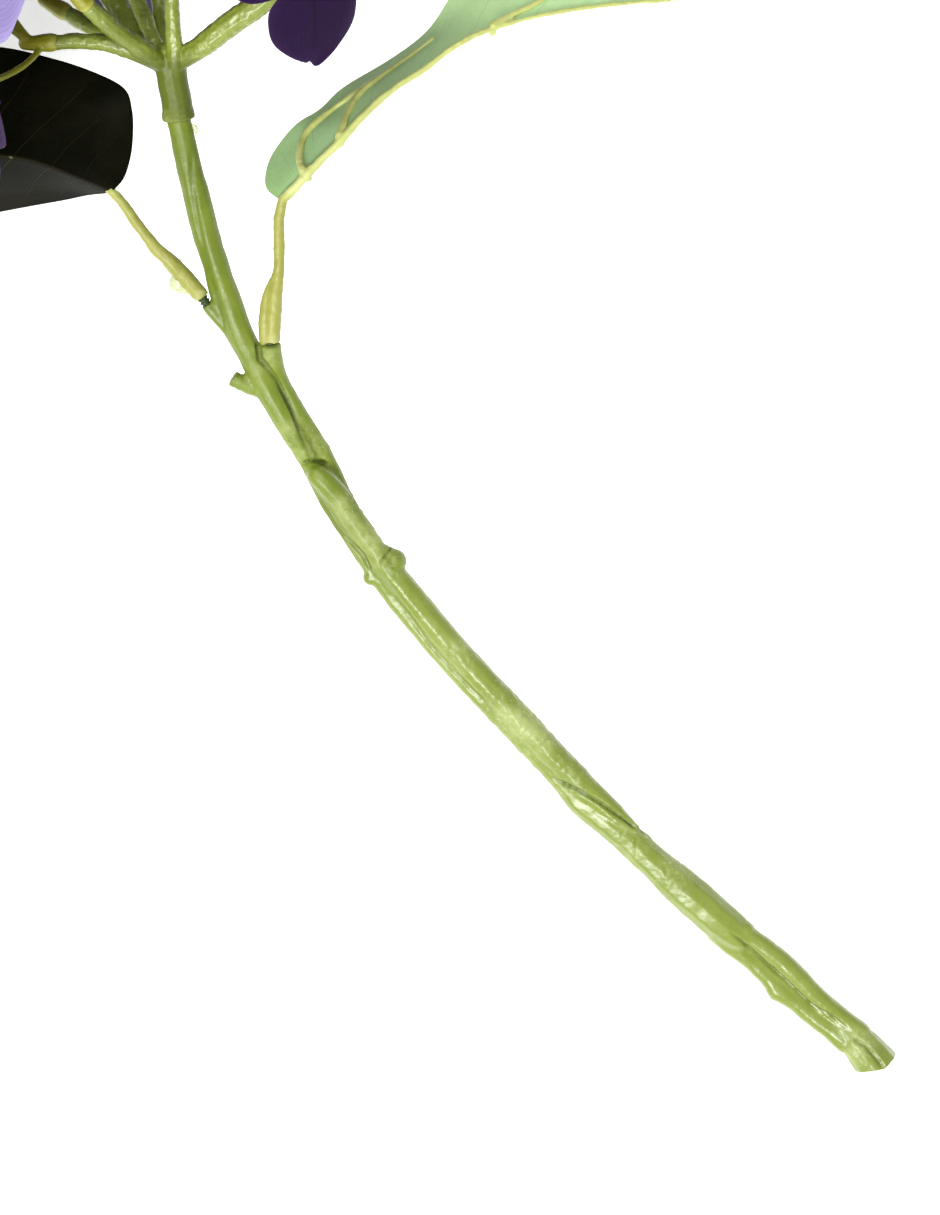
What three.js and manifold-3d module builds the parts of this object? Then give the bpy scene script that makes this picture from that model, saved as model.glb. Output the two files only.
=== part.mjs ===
// A lying artificial hydrangea spray: a bundled plastic stalk on a steel wire, a branching head
// that carries clusters of stalks with four-petal florets, and two formed leaves on pegs.
// Millimetres, +Z up. +Y runs towards the flower head, and Z = 0 is the surface that it lies on.
import * as THREE from 'three';
import { mergeVertices } from 'three/addons/utils/BufferGeometryUtils.js';
import Module from 'manifold-3d';

const wasm = await Module();
wasm.setup();

// ---- Driving dimensions -----------------------------------------------------------------------
const GAP = 0.3;                  // clearance between pieces that seat on each other
const STALK_REACH = 255;          // from the branching point to the cut end, along Y
const STALK_DRAWN_REACH = 255;    // the same reach, as the stalk's points are drawn
const STRAND_DIAMETER = 7.0;      // one strand of the stalk
const WIRE_DIAMETER = 2.0;
const WIRE_START = 25;            // from the branching point, along the stalk
const WIRE_BORE_START = 24;
const WIRE_RECESS = 0.5;          // from the cut end to the wire's end
const COLLAR_DIAMETER = 11.0;     // flare at the cut end
const SLEEVE_DIAMETER = 8.0;
const SLEEVE_LENGTH = 13.5;
const SPIGOT_DIAMETER = 4.2;      // tip of the stalk inside the sleeve
const SPIGOT_START = 4;           // from the branching point, along the stalk
const ARM_DIAMETER = 5.2;
const ARM_LENGTH = 31;
const ARM_BOW = 5.6;              // how far an arm bends back before it turns outwards
const PEDICEL_DIAMETER = 2.0;
const PEDICEL_FOOT_DIAMETER = 4.2;
const PEDICEL_FOOT_LENGTH = 7;
const PEDICEL_FOOT_GAP = 1.3;     // more than GAP, as the bowed arm's end face is not square to it
const PIP_DIAMETER = 3.2;
const PIP_RISE = 1.45;            // from a floret's middle to the centre of its pip
const HEAD_RADIUS = 82;           // outermost florets, from the head's centre
const HEAD_RISE = 36;             // from the branching point to the head's centre
const HEAD_SAG = 7;               // how far its own weight flattens the head on the surface
const HEAD_LEAN = 10.5;           // degrees, the head's axis towards -X
const HEAD_LIFT = 7;              // degrees, the head's axis upwards
const FLORET_SPAN = 57;           // across two opposite petals
const PETAL_THICKNESS = 1.0;
const DIMPLE_DEPTH = 3.1;         // hollow round a floret's pip
const DIMPLE_RADIUS = 8;
const LAYER_STEP = 3.2;           // between two layers of overlapping florets
const FLORETS_ON_BALL = 72;       // even spacing that a whole ball of florets would have
const RIM_ANGLE = 92;             // degrees from the head's axis to the lowest florets
const LEAF_LENGTH = 112;
const LEAF_DRAWN_LENGTH = 112;    // the same length, as the midribs are drawn
const LEAF_HALF_WIDTH = 33;
const BLADE_THICKNESS = 1.2;
const PETIOLE_DIAMETER = 3.2;
const SOCKET_DIAMETER = 5.0;
const SOCKET_LENGTH = 8;
const PEG_DIAMETER = 2.4;
const PEG_LENGTH = 5;
const KNOB_DIAMETER = 6.5;

// ---- Colours ----------------------------------------------------------------------------------
const FINISH = {
  stalk: { color: 0x9baf5a, roughness: 0.45 },
  wire: { color: 0x8a8d90, roughness: 0.35, metalness: 1 },
  branch: { color: 0x7f9a3d, roughness: 0.35 },
  pedicel: { color: 0xb0aa45, roughness: 0.45 },
  petiole: { color: 0xc3c869, roughness: 0.5 },
  peg: { color: 0x3f5a2a, roughness: 0.5 },
  leafTop: { color: 0x1e2614, roughness: 0.4 },
  leafUnder: { color: 0x8fb884, roughness: 0.5 },
  lilac: { color: 0xb9a6e6, roughness: 0.6 },
  aubergine: { color: 0x40305e, roughness: 0.5 },
};

const group = new THREE.Group();
const rad = THREE.MathUtils.degToRad;
const vec = (x, y, z) => new THREE.Vector3(x, y, z);

// ---- Making and joining solids ----------------------------------------------------------------
function toSolid(geometry) {
  geometry.deleteAttribute('normal');
  geometry.deleteAttribute('uv');
  const merged = mergeVertices(geometry, 1e-4);
  return new wasm.Manifold(new wasm.Mesh({
    numProp: 3,
    vertProperties: new Float32Array(merged.attributes.position.array),
    triVerts: new Uint32Array(merged.index.array),
  }));
}

function toGeometry(solid) {
  const mesh = solid.getMesh();
  const geometry = new THREE.BufferGeometry();
  geometry.setAttribute('position', new THREE.BufferAttribute(new Float32Array(mesh.vertProperties), 3));
  geometry.setIndex(new THREE.BufferAttribute(new Uint32Array(mesh.triVerts), 1));
  geometry.computeVertexNormals();
  return geometry;
}

function join(solids) {
  return solids.reduce((whole, solid) => whole.add(solid));
}

function addPiece(name, solid, finish) {
  const mesh = new THREE.Mesh(toGeometry(solid), new THREE.MeshStandardMaterial(finish));
  mesh.name = name;
  group.add(mesh);
}

// A round bar of one diameter along a curve.
function bar(curve, diameter, sides, steps) {
  const outline = new THREE.Shape();
  for (let i = 0; i < sides; i += 1) {
    const angle = (2 * Math.PI * i) / sides;
    const x = (diameter / 2) * Math.cos(angle);
    const y = (diameter / 2) * Math.sin(angle);
    if (i === 0) outline.moveTo(x, y);
    else outline.lineTo(x, y);
  }
  return toSolid(new THREE.ExtrudeGeometry(outline, {
    steps, bevelEnabled: false, extrudePath: curve,
  }));
}

// The stretch of a curve between two fractions of its length.
function stretch(curve, from, to, count) {
  const points = [];
  for (let i = 0; i <= count; i += 1) {
    points.push(curve.getPointAt(Math.min(1, from + ((to - from) * i) / count)));
  }
  return new THREE.CatmullRomCurve3(points);
}

function ball(centre, diameter) {
  const geometry = new THREE.SphereGeometry(diameter / 2, 6, 3);
  geometry.translate(centre.x, centre.y, centre.z);
  return toSolid(geometry);
}

// A closed thin sheet: point(u, v, side) gives both faces of a grid, side 0 below and 1 above.
// A sheet that wraps round in u is a ring, closed by walls along both of its v edges.
function sheet(point, across, along, wraps) {
  const columns = wraps ? across : across + 1;
  const vertices = [];
  for (let side = 0; side < 2; side += 1) {
    for (let j = 0; j <= along; j += 1) {
      for (let i = 0; i < columns; i += 1) {
        const p = point(i / across, j / along, side);
        vertices.push(p.x, p.y, p.z);
      }
    }
  }
  const at = (i, j, side) => (side * (along + 1) + j) * columns + (i % columns);
  const faces = [];
  const quad = (a, b, c, d) => faces.push(a, b, c, a, c, d);
  for (let i = 0; i < across; i += 1) {
    for (let j = 0; j < along; j += 1) {
      quad(at(i, j, 1), at(i + 1, j, 1), at(i + 1, j + 1, 1), at(i, j + 1, 1));
      quad(at(i, j, 0), at(i, j + 1, 0), at(i + 1, j + 1, 0), at(i + 1, j, 0));
    }
    quad(at(i, 0, 0), at(i + 1, 0, 0), at(i + 1, 0, 1), at(i, 0, 1));
    quad(at(i, along, 0), at(i, along, 1), at(i + 1, along, 1), at(i + 1, along, 0));
  }
  for (let j = 0; j < along && !wraps; j += 1) {
    quad(at(0, j, 0), at(0, j, 1), at(0, j + 1, 1), at(0, j + 1, 0));
    quad(at(across, j, 0), at(across, j + 1, 0), at(across, j + 1, 1), at(across, j, 1));
  }
  const geometry = new THREE.BufferGeometry();
  geometry.setAttribute('position', new THREE.BufferAttribute(new Float32Array(vertices), 3));
  geometry.setIndex(faces);
  return toSolid(geometry);
}

// ---- The frame of the head --------------------------------------------------------------------
// The branching point stands above X = Y = 0, as high as the resting head holds it.
const headAxis = vec(-Math.sin(rad(HEAD_LEAN)), Math.cos(rad(HEAD_LEAN)), Math.tan(rad(HEAD_LIFT)))
  .normalize();
const headRight = vec(1, 0, 0).addScaledVector(headAxis, -headAxis.x).normalize();
const headFront = headRight.clone().cross(headAxis);
const CENTRE_HEIGHT = HEAD_RADIUS - HEAD_SAG;
const hub = vec(0, 0, CENTRE_HEIGHT - HEAD_RISE * headAxis.z);
const headCentre = hub.clone().addScaledVector(headAxis, HEAD_RISE);

// A direction out of the head's centre: polar from the axis, turn from the right over the front.
function headDirection(polar, turn) {
  return headAxis.clone().multiplyScalar(Math.cos(polar))
    .addScaledVector(headRight, Math.sin(polar) * Math.cos(turn))
    .addScaledVector(headFront, Math.sin(polar) * Math.sin(turn));
}

// ---- The stalk --------------------------------------------------------------------------------
const stalkScale = STALK_REACH / STALK_DRAWN_REACH;
const END_HEIGHT = COLLAR_DIAMETER / 2;

// A point of the stalk in plan, at the height that it has between the head and the cut end.
function onStalk(x, y, lift = 0) {
  const share = -y / STALK_DRAWN_REACH;
  const drop = 0.8 * share + 0.2 * share * share;
  return vec(x * stalkScale, y * stalkScale, hub.z - (hub.z - END_HEIGHT) * drop + lift);
}

function strand(points, diameter, sides, steps) {
  return bar(new THREE.CatmullRomCurve3(points.map((p) => onStalk(...p))), diameter, sides, steps);
}

const stalkLine = new THREE.CatmullRomCurve3([
  [0, 0], [1.8, -13.9], [5.3, -29.4], [11.8, -52], [19.9, -72.1], [31.4, -96.1], [43.1, -118.1],
  [57.5, -137], [80.2, -162.6], [110.7, -192.8], [142.6, -219.9], [156.4, -234.8], [174, -250],
  [178.4, -255],
].map((p) => onStalk(...p)));
const lineLength = stalkLine.getLength();
const sleeveEnd = SLEEVE_LENGTH / lineLength;
const shoulder = (SLEEVE_LENGTH + GAP) / lineLength;
const spigotTip = SPIGOT_START / lineLength;
const BITE = 0.01;                // share of the line by which joined bars run into each other

const leftStub = onStalk(8.3, -60.5);
const rightStub = onStalk(24.6, -70.5, 2.5);
const wireBore = bar(stretch(stalkLine, WIRE_BORE_START / lineLength, 1, 40),
  WIRE_DIAMETER + 2 * GAP, 6, 30);

addPiece('stem', join([
  bar(stretch(stalkLine, shoulder, 1, 40), STRAND_DIAMETER, 8, 30),
  bar(stretch(stalkLine, spigotTip, shoulder + BITE, 4), SPIGOT_DIAMETER, 8, 3),
  strand([[36.5, -102.4, 1], [43.3, -113.8, 1], [60.4, -134.5, 1], [83, -160.1, 1], [102.3, -180.7, 1],
    [118.9, -195.2, 1]], STRAND_DIAMETER, 8, 12),
  strand([[24.6, -70.5, 2.5], [25.9, -80.9, 1], [34, -94.3, -1.5], [42.8, -108, -1.5], [54.3, -125.3, -1]],
    STRAND_DIAMETER, 8, 10),
  strand([[8.3, -60.5], [14.1, -69.6, -1], [22.3, -84.7, -1], [33, -103, -1], [46, -127, -1],
    [62, -147, -1], [84, -171, -1]], STRAND_DIAMETER * 0.8, 8, 12),
  strand([[13.7, -79.4], [18, -80.6], [24.4, -84]], STRAND_DIAMETER * 0.62, 8, 4),
  strand([[109, -195, -1], [125, -208, -1], [139, -221.5, -1], [153.3, -234.8, -1], [170, -249.5, -0.5]],
    STRAND_DIAMETER * 0.9, 8, 12),
  ball(onStalk(55.8, -125.3), KNOB_DIAMETER),
  ball(onStalk(49.1, -129.9), KNOB_DIAMETER),
  strand([[168, -243.2], [178.4, -255]], COLLAR_DIAMETER, 10, 2),
]).subtract(wireBore), FINISH.stalk);

addPiece('stem_wire', bar(
  stretch(stalkLine, WIRE_START / lineLength, 1 - WIRE_RECESS / lineLength, 40), WIRE_DIAMETER, 6, 30,
), FINISH.wire);

// ---- The branching head -----------------------------------------------------------------------
// Each arm: degrees from the head's axis, and degrees round it from the right over the front.
const ARMS = [
  [67, 21], [49, 146], [70, 185], [62, 214], [48, 229], [30, 230], [37, 265], [15, 45],
];
const armDirections = ARMS.map(([polar, turn]) => headDirection(rad(polar), rad(turn)));
const armTips = armDirections.map((direction) => hub.clone().addScaledVector(direction, ARM_LENGTH));

function armCurve(index) {
  const middle = hub.clone().addScaledVector(armDirections[index], ARM_LENGTH / 2)
    .addScaledVector(headAxis, -ARM_BOW);
  return new THREE.QuadraticBezierCurve3(hub.clone(), middle, armTips[index]);
}

const sleeveBore = bar(stretch(stalkLine, spigotTip - GAP / lineLength, sleeveEnd + BITE, 4),
  SPIGOT_DIAMETER + 2 * GAP, 8, 3);
addPiece('branch_head', join([
  bar(stretch(stalkLine, 0, sleeveEnd, 4), SLEEVE_DIAMETER, 10, 3).subtract(sleeveBore),
  ball(hub, SLEEVE_DIAMETER),
  ...ARMS.map((_, index) => bar(armCurve(index), ARM_DIAMETER, 8, 4)),
]), FINISH.branch);

// ---- The florets ------------------------------------------------------------------------------
// Places that the head shows: direction as for the arms, the spin of the petals, and the colour.
const SHOWN_FLORETS = [
  { polar: 99, turn: 59, spin: 0, colour: 'aubergine' },
  { polar: 92, turn: 262, spin: 0, colour: 'lilac' },
  { polar: 96, turn: 131, spin: 5, colour: 'lilac' },
  { polar: 117, turn: 148, spin: 85, colour: 'aubergine' },
];
const NEAREST = 21;               // degrees, the least angle between two florets
const PARTING_TURN = 98;          // degrees, the head is parted here over its arms
const PARTING_HALF = 55;
const PARTING_RIM = 80;
const GOLDEN_TURN = Math.PI * (3 - Math.sqrt(5));
const NOTCH_SHARE = 0.5;          // how deep the notch between two petals is, of their length

function seatFlorets() {
  const seats = SHOWN_FLORETS.map((shown) => ({
    ...shown, direction: headDirection(rad(shown.polar), rad(shown.turn)),
  }));
  for (let i = 0; i < FLORETS_ON_BALL; i += 1) {
    const polar = Math.acos(1 - (2 * (i + 0.5)) / FLORETS_ON_BALL);
    const turn = i * GOLDEN_TURN;
    const direction = headDirection(polar, turn);
    const fromParting = Math.abs(Math.atan2(
      Math.sin(turn - rad(PARTING_TURN)), Math.cos(turn - rad(PARTING_TURN))));
    const rim = fromParting < rad(PARTING_HALF) ? PARTING_RIM : RIM_ANGLE;
    const clear = seats.every((seat) => seat.direction.angleTo(direction) > rad(NEAREST));
    if (polar < rad(rim) && clear) {
      const spin = (i * 37) % 90;
      const colour = i % 5 === 2 ? 'aubergine' : 'lilac';
      seats.push({ direction, spin, colour });
    }
  }
  return seats;
}

// The outermost layer that no overlapping floret before this one has taken.
function layerFlorets(seats) {
  const reach = (FLORET_SPAN + GAP) / HEAD_RADIUS;
  seats.forEach((seat, index) => {
    const taken = seats.slice(0, index)
      .filter((other) => other.direction.angleTo(seat.direction) < reach)
      .map((other) => other.layer);
    seat.layer = 0;
    while (taken.includes(seat.layer)) seat.layer += 1;
  });
}

// Distance from a floret's middle to its edge, for an angle round it in quarter turns.
function petalReach(quarter) {
  const across = Math.abs((quarter % 1) - 0.5) * 2;
  return (FLORET_SPAN / 2) * (1 - NOTCH_SHARE * across ** 3);
}

// A point of a floret's sheet: it follows its own layer of the ball, and lies flat on the surface.
function floretPoint(seat, angle, distance, outer) {
  const east = headAxis.clone().cross(seat.direction).normalize();
  const north = seat.direction.clone().cross(east);
  const dimple = DIMPLE_DEPTH * Math.max(0, 1 - distance / DIMPLE_RADIUS);
  const depth = seat.layer * LAYER_STEP + dimple + (outer ? 0 : PETAL_THICKNESS);
  const bend = distance / HEAD_RADIUS;
  const p = seat.direction.clone().multiplyScalar(Math.cos(bend))
    .addScaledVector(east, Math.sin(bend) * Math.sin(angle))
    .addScaledVector(north, -Math.sin(bend) * Math.cos(angle))
    .multiplyScalar(HEAD_RADIUS - depth).add(headCentre);
  p.z = Math.max(p.z, depth);
  return p;
}

const floretSeats = seatFlorets();
layerFlorets(floretSeats);
const HOLE_RADIUS = PEDICEL_DIAMETER / 2 + 2 * GAP;
floretSeats.forEach((seat, index) => {
  const point = (u, v, side) => {
    const edge = petalReach(4 * u);
    const distance = [HOLE_RADIUS, DIMPLE_RADIUS, edge][Math.round(2 * v)];
    const angle = rad(seat.spin) + Math.PI / 4 - 2 * Math.PI * u;
    return floretPoint(seat, angle, distance, side === 1);
  };
  const name = `floret_${String(index + 1).padStart(2, '0')}`;
  addPiece(name, sheet(point, 12, 2, true), FINISH[seat.colour]);
});

// ---- The clusters of floret stalks ------------------------------------------------------------
const SIDE_ARM = 62;              // degrees from the axis, the middle of what a side arm carries
const PEDICEL_STRAIGHT = 15;      // last stretch, square to the floret
const PEDICEL_BULGE = 3;          // how far it runs on along the arm before it turns away

function nearestArm(seat) {
  const place = headCentre.clone().addScaledVector(seat.direction, HEAD_RADIUS).sub(hub).normalize();
  const angles = ARMS.map(([polar, turn]) => (
    headDirection(rad(Math.min(polar, SIDE_ARM)), rad(turn)).angleTo(place)));
  return angles.indexOf(Math.min(...angles));
}

function pedicel(root, direction, seat) {
  const middle = floretPoint(seat, 0, 0, true);
  const start = root.clone().addScaledVector(direction, -PEDICEL_DIAMETER);
  const bend = middle.clone().addScaledVector(seat.direction, -PEDICEL_STRAIGHT);
  const under = middle.clone().addScaledVector(seat.direction, -PEDICEL_STRAIGHT / 2);
  const pip = middle.clone().addScaledVector(seat.direction, PIP_RISE);
  const way = root.clone().lerp(bend, 0.4).addScaledVector(direction, PEDICEL_BULGE);
  const curve = new THREE.CatmullRomCurve3([start, way, bend, under, pip]);
  return bar(curve, PEDICEL_DIAMETER, 5, 5).add(ball(pip, PIP_DIAMETER));
}

armTips.forEach((tip, index) => {
  const direction = armDirections[index];
  const foot = tip.clone().addScaledVector(direction, PEDICEL_FOOT_GAP);
  const root = foot.clone().addScaledVector(direction, PEDICEL_FOOT_LENGTH);
  const stub = bar(new THREE.LineCurve3(foot, root), PEDICEL_FOOT_DIAMETER, 8, 1);
  const pedicels = floretSeats.filter((seat) => nearestArm(seat) === index)
    .map((seat) => pedicel(root, direction, seat));
  addPiece(`pedicel_cluster_${index + 1}`, join([stub, ...pedicels]), FINISH.pedicel);
});

// ---- The leaves -------------------------------------------------------------------------------
// A blade hangs on its midrib: at each point the sheet runs out to both sides, folded about it.
function blade(leaf) {
  const scale = LEAF_LENGTH / LEAF_DRAWN_LENGTH;
  const base = leaf.base.clone();
  const midrib = new THREE.CatmullRomCurve3(leaf.midrib.map((p) => (
    base.clone().addScaledVector(vec(...p), scale))));
  const frame = (share) => {
    const tangent = midrib.getTangentAt(share);
    const side = leaf.up.clone().cross(tangent).normalize();
    return { place: midrib.getPointAt(share), side, up: tangent.clone().cross(side) };
  };
  // Where the rib of the blade runs: in the fold's hollow, or along its ridge.
  const ribPoint = (share, clearance) => {
    const { place, side, up } = frame(share);
    const half = rad((leaf.foldPlus - leaf.foldMinus) / 2);
    const lean = rad((180 + leaf.foldPlus + leaf.foldMinus) / 2);
    const hollow = up.clone().multiplyScalar(-Math.sin(lean) * Math.cos(half))
      .addScaledVector(side, Math.sin(half)).normalize();
    const reach = leaf.ribInHollow ? clearance / Math.sin(lean) : -clearance;
    return place.addScaledVector(hollow, reach);
  };
  const sheetPoint = (share, across, lift) => {
    const { place, side, up } = frame(share);
    const width = LEAF_HALF_WIDTH * leaf.outline(share) * Math.abs(across);
    const fold = rad(across < 0 ? leaf.foldMinus : leaf.foldPlus);
    const outward = side.clone().multiplyScalar(Math.sign(across) * Math.cos(fold))
      .addScaledVector(up, Math.sin(fold));
    const normal = up.clone().multiplyScalar(Math.cos(fold))
      .addScaledVector(side, -Math.sign(across) * Math.sin(fold));
    return place.addScaledVector(outward, width).addScaledVector(across === 0 ? up : normal, lift);
  };
  return { ribPoint, sheetPoint };
}

const BLADE_REACH = 0.985;        // share of the midrib's curve at which the blade's tip is blunted

// Half width along the blade: broad near the base, and a drawn-out tip.
const leafOutline = (share) => (share + 0.16) ** 0.32 * (1 - share) ** 0.62 * 1.12 + 0.02;

const LEAVES = [
  {
    side: 'left', finish: FINISH.leafTop, stub: leftStub, ribInHollow: true, pegShows: 1.8,
    petiole: [[8, -59.5, 0], [-0.5, -49.9, 1], [-7, -39.4, 2], [-15, -32.7, 3]],
    base: onStalk(-15.2, -32.2, 3),
    midrib: [[2, -1, 0], [-15, 5.6, 2], [-28, 8.6, 2], [-60, 8, -4], [-88, 1, -15], [-108, -9, -28]],
    up: vec(0, 0, 1), foldMinus: -17, foldPlus: -58, outline: leafOutline,
  },
  {
    side: 'right', finish: FINISH.leafUnder, stub: rightStub, ribInHollow: false, pegShows: 0.4,
    petiole: [[24.6, -69.6, 2.5], [26.6, -54.5, 3], [27, -42, 3], [28, -34, 3]],
    base: onStalk(28, -34, 3),
    midrib: [[0, 0, 0], [12, 12, 2], [29.5, 31, 4], [47, 41, 3], [77, 48, -3], [101, 51, -12]],
    up: vec(0, 0, 1), foldMinus: -86, foldPlus: -52, outline: leafOutline,
  },
];

LEAVES.forEach((leaf) => {
  const { ribPoint, sheetPoint } = blade(leaf);
  const half = BLADE_THICKNESS / 2;
  addPiece(`${leaf.side}_leaf_blade`, sheet((u, v, side) => (
    sheetPoint(v * BLADE_REACH, 1 - 2 * u, side === 1 ? half : -half)), 6, 9, false), leaf.finish);

  // The stalk of the leaf runs on as the midrib, just off the blade's lower face.
  const clearance = half + PETIOLE_DIAMETER / 2 + 3 * GAP;
  const rib = [0.02, 0.2, 0.4, 0.6, 0.8].map((share) => ribPoint(share, clearance));
  const route = leaf.petiole.map((p) => onStalk(...p));
  const ahead = route[1].clone().sub(route[0]).normalize();
  const mouth = leaf.stub.clone().addScaledVector(ahead, GAP + leaf.pegShows);
  route[0].copy(mouth);
  route[route.length - 1].copy(rib[0]);
  const stalk = bar(new THREE.CatmullRomCurve3([...route, ...rib.slice(1)]), PETIOLE_DIAMETER, 6, 22);
  const socketEnd = mouth.clone().addScaledVector(ahead, SOCKET_LENGTH);
  const socket = bar(new THREE.LineCurve3(mouth, socketEnd), SOCKET_DIAMETER, 8, 1);
  const boreEnd = mouth.clone().addScaledVector(ahead, PEG_LENGTH);
  const boreStart = mouth.clone().addScaledVector(ahead, -PEG_DIAMETER);
  const bore = bar(new THREE.LineCurve3(boreStart, boreEnd), PEG_DIAMETER + 2 * GAP, 8, 1);
  addPiece(`${leaf.side}_petiole`, stalk.add(socket).subtract(bore), FINISH.petiole);

  const pegStart = leaf.stub.clone().addScaledVector(ahead, GAP);
  const pegEnd = mouth.clone().addScaledVector(ahead, PEG_LENGTH - GAP);
  addPiece(`${leaf.side}_leaf_peg`, bar(new THREE.LineCurve3(pegStart, pegEnd), PEG_DIAMETER, 8, 1),
    FINISH.peg);
});

// ---- The part's own frame: the middle of the bottom of its box --------------------------------
const box = new THREE.Box3().setFromObject(group);
group.position.set(-(box.min.x + box.max.x) / 2, -(box.min.y + box.max.y) / 2, -box.min.z);
group.updateMatrixWorld(true);

export default group;
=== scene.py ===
"""The looks of a lying artificial hydrangea spray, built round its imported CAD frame.

The design's own coordinates are millimetres from the branching point, where the arms of the
flower head leave the sleeve: +X to the right, +Y towards the head, and Z the height above the
surface. Every finished mesh is in metres in the part's frame.
"""
import logging
import math
from dataclasses import dataclass, field
from enum import Enum
from typing import Any, Callable, Iterable, Sequence

import bmesh
import bpy
from mathutils import Matrix, Vector, noise
from mathutils.bvhtree import BVHTree


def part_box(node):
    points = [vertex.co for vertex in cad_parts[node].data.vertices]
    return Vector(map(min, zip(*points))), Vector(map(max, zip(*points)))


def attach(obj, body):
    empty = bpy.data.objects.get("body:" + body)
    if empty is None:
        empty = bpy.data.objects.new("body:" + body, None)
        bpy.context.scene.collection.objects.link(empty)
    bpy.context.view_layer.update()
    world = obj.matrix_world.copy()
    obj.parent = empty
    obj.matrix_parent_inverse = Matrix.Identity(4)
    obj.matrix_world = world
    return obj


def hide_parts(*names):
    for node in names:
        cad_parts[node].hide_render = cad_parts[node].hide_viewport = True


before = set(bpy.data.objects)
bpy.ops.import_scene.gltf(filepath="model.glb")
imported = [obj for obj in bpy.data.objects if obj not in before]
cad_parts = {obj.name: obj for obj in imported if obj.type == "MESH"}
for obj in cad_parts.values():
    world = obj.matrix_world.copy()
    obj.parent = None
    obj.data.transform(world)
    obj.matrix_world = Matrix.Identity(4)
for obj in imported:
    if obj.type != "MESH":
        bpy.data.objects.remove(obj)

log = logging.getLogger("hydrangea")
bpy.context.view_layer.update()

MM = 0.001
STALK_CORNER = Vector((182.574, -258.742, 0.0))
STALK_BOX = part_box("stem")
SHIFT = Vector((STALK_BOX[1].x / MM - STALK_CORNER.x, STALK_BOX[0].y / MM - STALK_CORNER.y, 0.0))

Point = tuple[float, float, float, float]
Plan = tuple[float, float]
Spot = tuple[float, float, float]


# ---- Numbers and curves ------------------------------------------------------------------------
def smooth(edge0: float, edge1: float, x: float) -> float:
    """A smooth step from 0 at edge0 to 1 at edge1."""
    t = min(max((x - edge0) / (edge1 - edge0), 0.0), 1.0)
    return t * t * (3 - 2 * t)


def spline(points: Sequence[Sequence[float]], share: float) -> Vector:
    """A point of a smooth curve through points, by share of the list.

    Args:
        points: Control points of any one dimension.
        share: 0 at the first point and 1 at the last.

    Returns:
        The curve's point, as a vector of that dimension.
    """
    last = len(points) - 1
    place = min(max(share, 0.0), 1.0) * last
    i = min(int(place), last - 1)
    t = place - i
    p0, p1 = Vector(points[max(i - 1, 0)]), Vector(points[i])
    p2, p3 = Vector(points[i + 1]), Vector(points[min(i + 2, last)])
    return 0.5 * (2 * p1 + (p2 - p0) * t + (2 * p0 - 5 * p1 + 4 * p2 - p3) * t * t
                  + (3 * p1 - 3 * p2 + p3 - p0) * t ** 3)


def resample(points: Sequence[Point], step: float) -> list[Vector]:
    """Points about one step apart along the smooth curve through points."""
    length = sum((Vector(b[:3]) - Vector(a[:3])).length for a, b in zip(points, points[1:]))
    count = max(int(length / step), 2)
    return [spline(points, i / count) for i in range(count + 1)]


# ---- Meshes ------------------------------------------------------------------------------------
def link(name: str, mesh: bpy.types.Mesh) -> bpy.types.Object:
    """A new object at the origin that shows a mesh."""
    obj = bpy.data.objects.new(name, mesh)
    bpy.context.scene.collection.objects.link(obj)
    return obj


def settle(obj: bpy.types.Object) -> bpy.types.Object:
    """Applies all of an object's modifiers to its mesh."""
    graph = bpy.context.evaluated_depsgraph_get()
    mesh = bpy.data.meshes.new_from_object(obj.evaluated_get(graph), depsgraph=graph)
    obj.modifiers.clear()
    old, obj.data = obj.data, mesh
    bpy.data.meshes.remove(old)
    return obj


def finish_mesh(bm: bmesh.types.BMesh, name: str) -> bpy.types.Object:
    """Turns a bmesh in design millimetres into an object in the part's frame, in metres."""
    bmesh.ops.translate(bm, verts=bm.verts, vec=SHIFT)
    bmesh.ops.scale(bm, verts=bm.verts, vec=(MM, MM, MM))
    for face in bm.faces:
        face.smooth = True
    mesh = bpy.data.meshes.new(name)
    bm.to_mesh(mesh)
    bm.free()
    return link(name, mesh)


def tube_mesh(points: Sequence[Point], sides: int = 12, step: float = 1.0,
              round_ends: tuple[bool, bool] = (True, True)) -> bmesh.types.BMesh:
    """A closed tube of changing radius along a smooth curve.

    Args:
        points: (x, y, z, radius) in design millimetres.
        sides: Sides of the section.
        step: Spacing of the sections.
        round_ends: Whether the first and the last end are domed.

    Returns:
        A new bmesh in design millimetres.
    """
    line = resample(points, step)
    for end in (0, 1):
        if round_ends[end]:
            line = domed(line, end == 0)
    curve = bpy.data.curves.new("strand", "CURVE")
    curve.dimensions = "3D"
    curve.bevel_depth = 1.0
    curve.bevel_resolution = max(sides // 4 - 1, 1)
    curve.use_fill_caps = True
    run = curve.splines.new("POLY")
    run.points.add(len(line) - 1)
    for at, p in zip(run.points, line):
        at.co = (p[0], p[1], p[2], 1.0)
        at.radius = max(p[3], 0.02)
    obj = bpy.data.objects.new("strand", curve)
    bpy.context.scene.collection.objects.link(obj)
    graph = bpy.context.evaluated_depsgraph_get()
    mesh = bpy.data.meshes.new_from_object(obj.evaluated_get(graph), depsgraph=graph)
    bm = bmesh.new()
    bm.from_mesh(mesh)
    bmesh.ops.remove_doubles(bm, verts=bm.verts, dist=1e-4)
    bpy.data.objects.remove(obj)
    bpy.data.curves.remove(curve)
    bpy.data.meshes.remove(mesh)
    return bm


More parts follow.
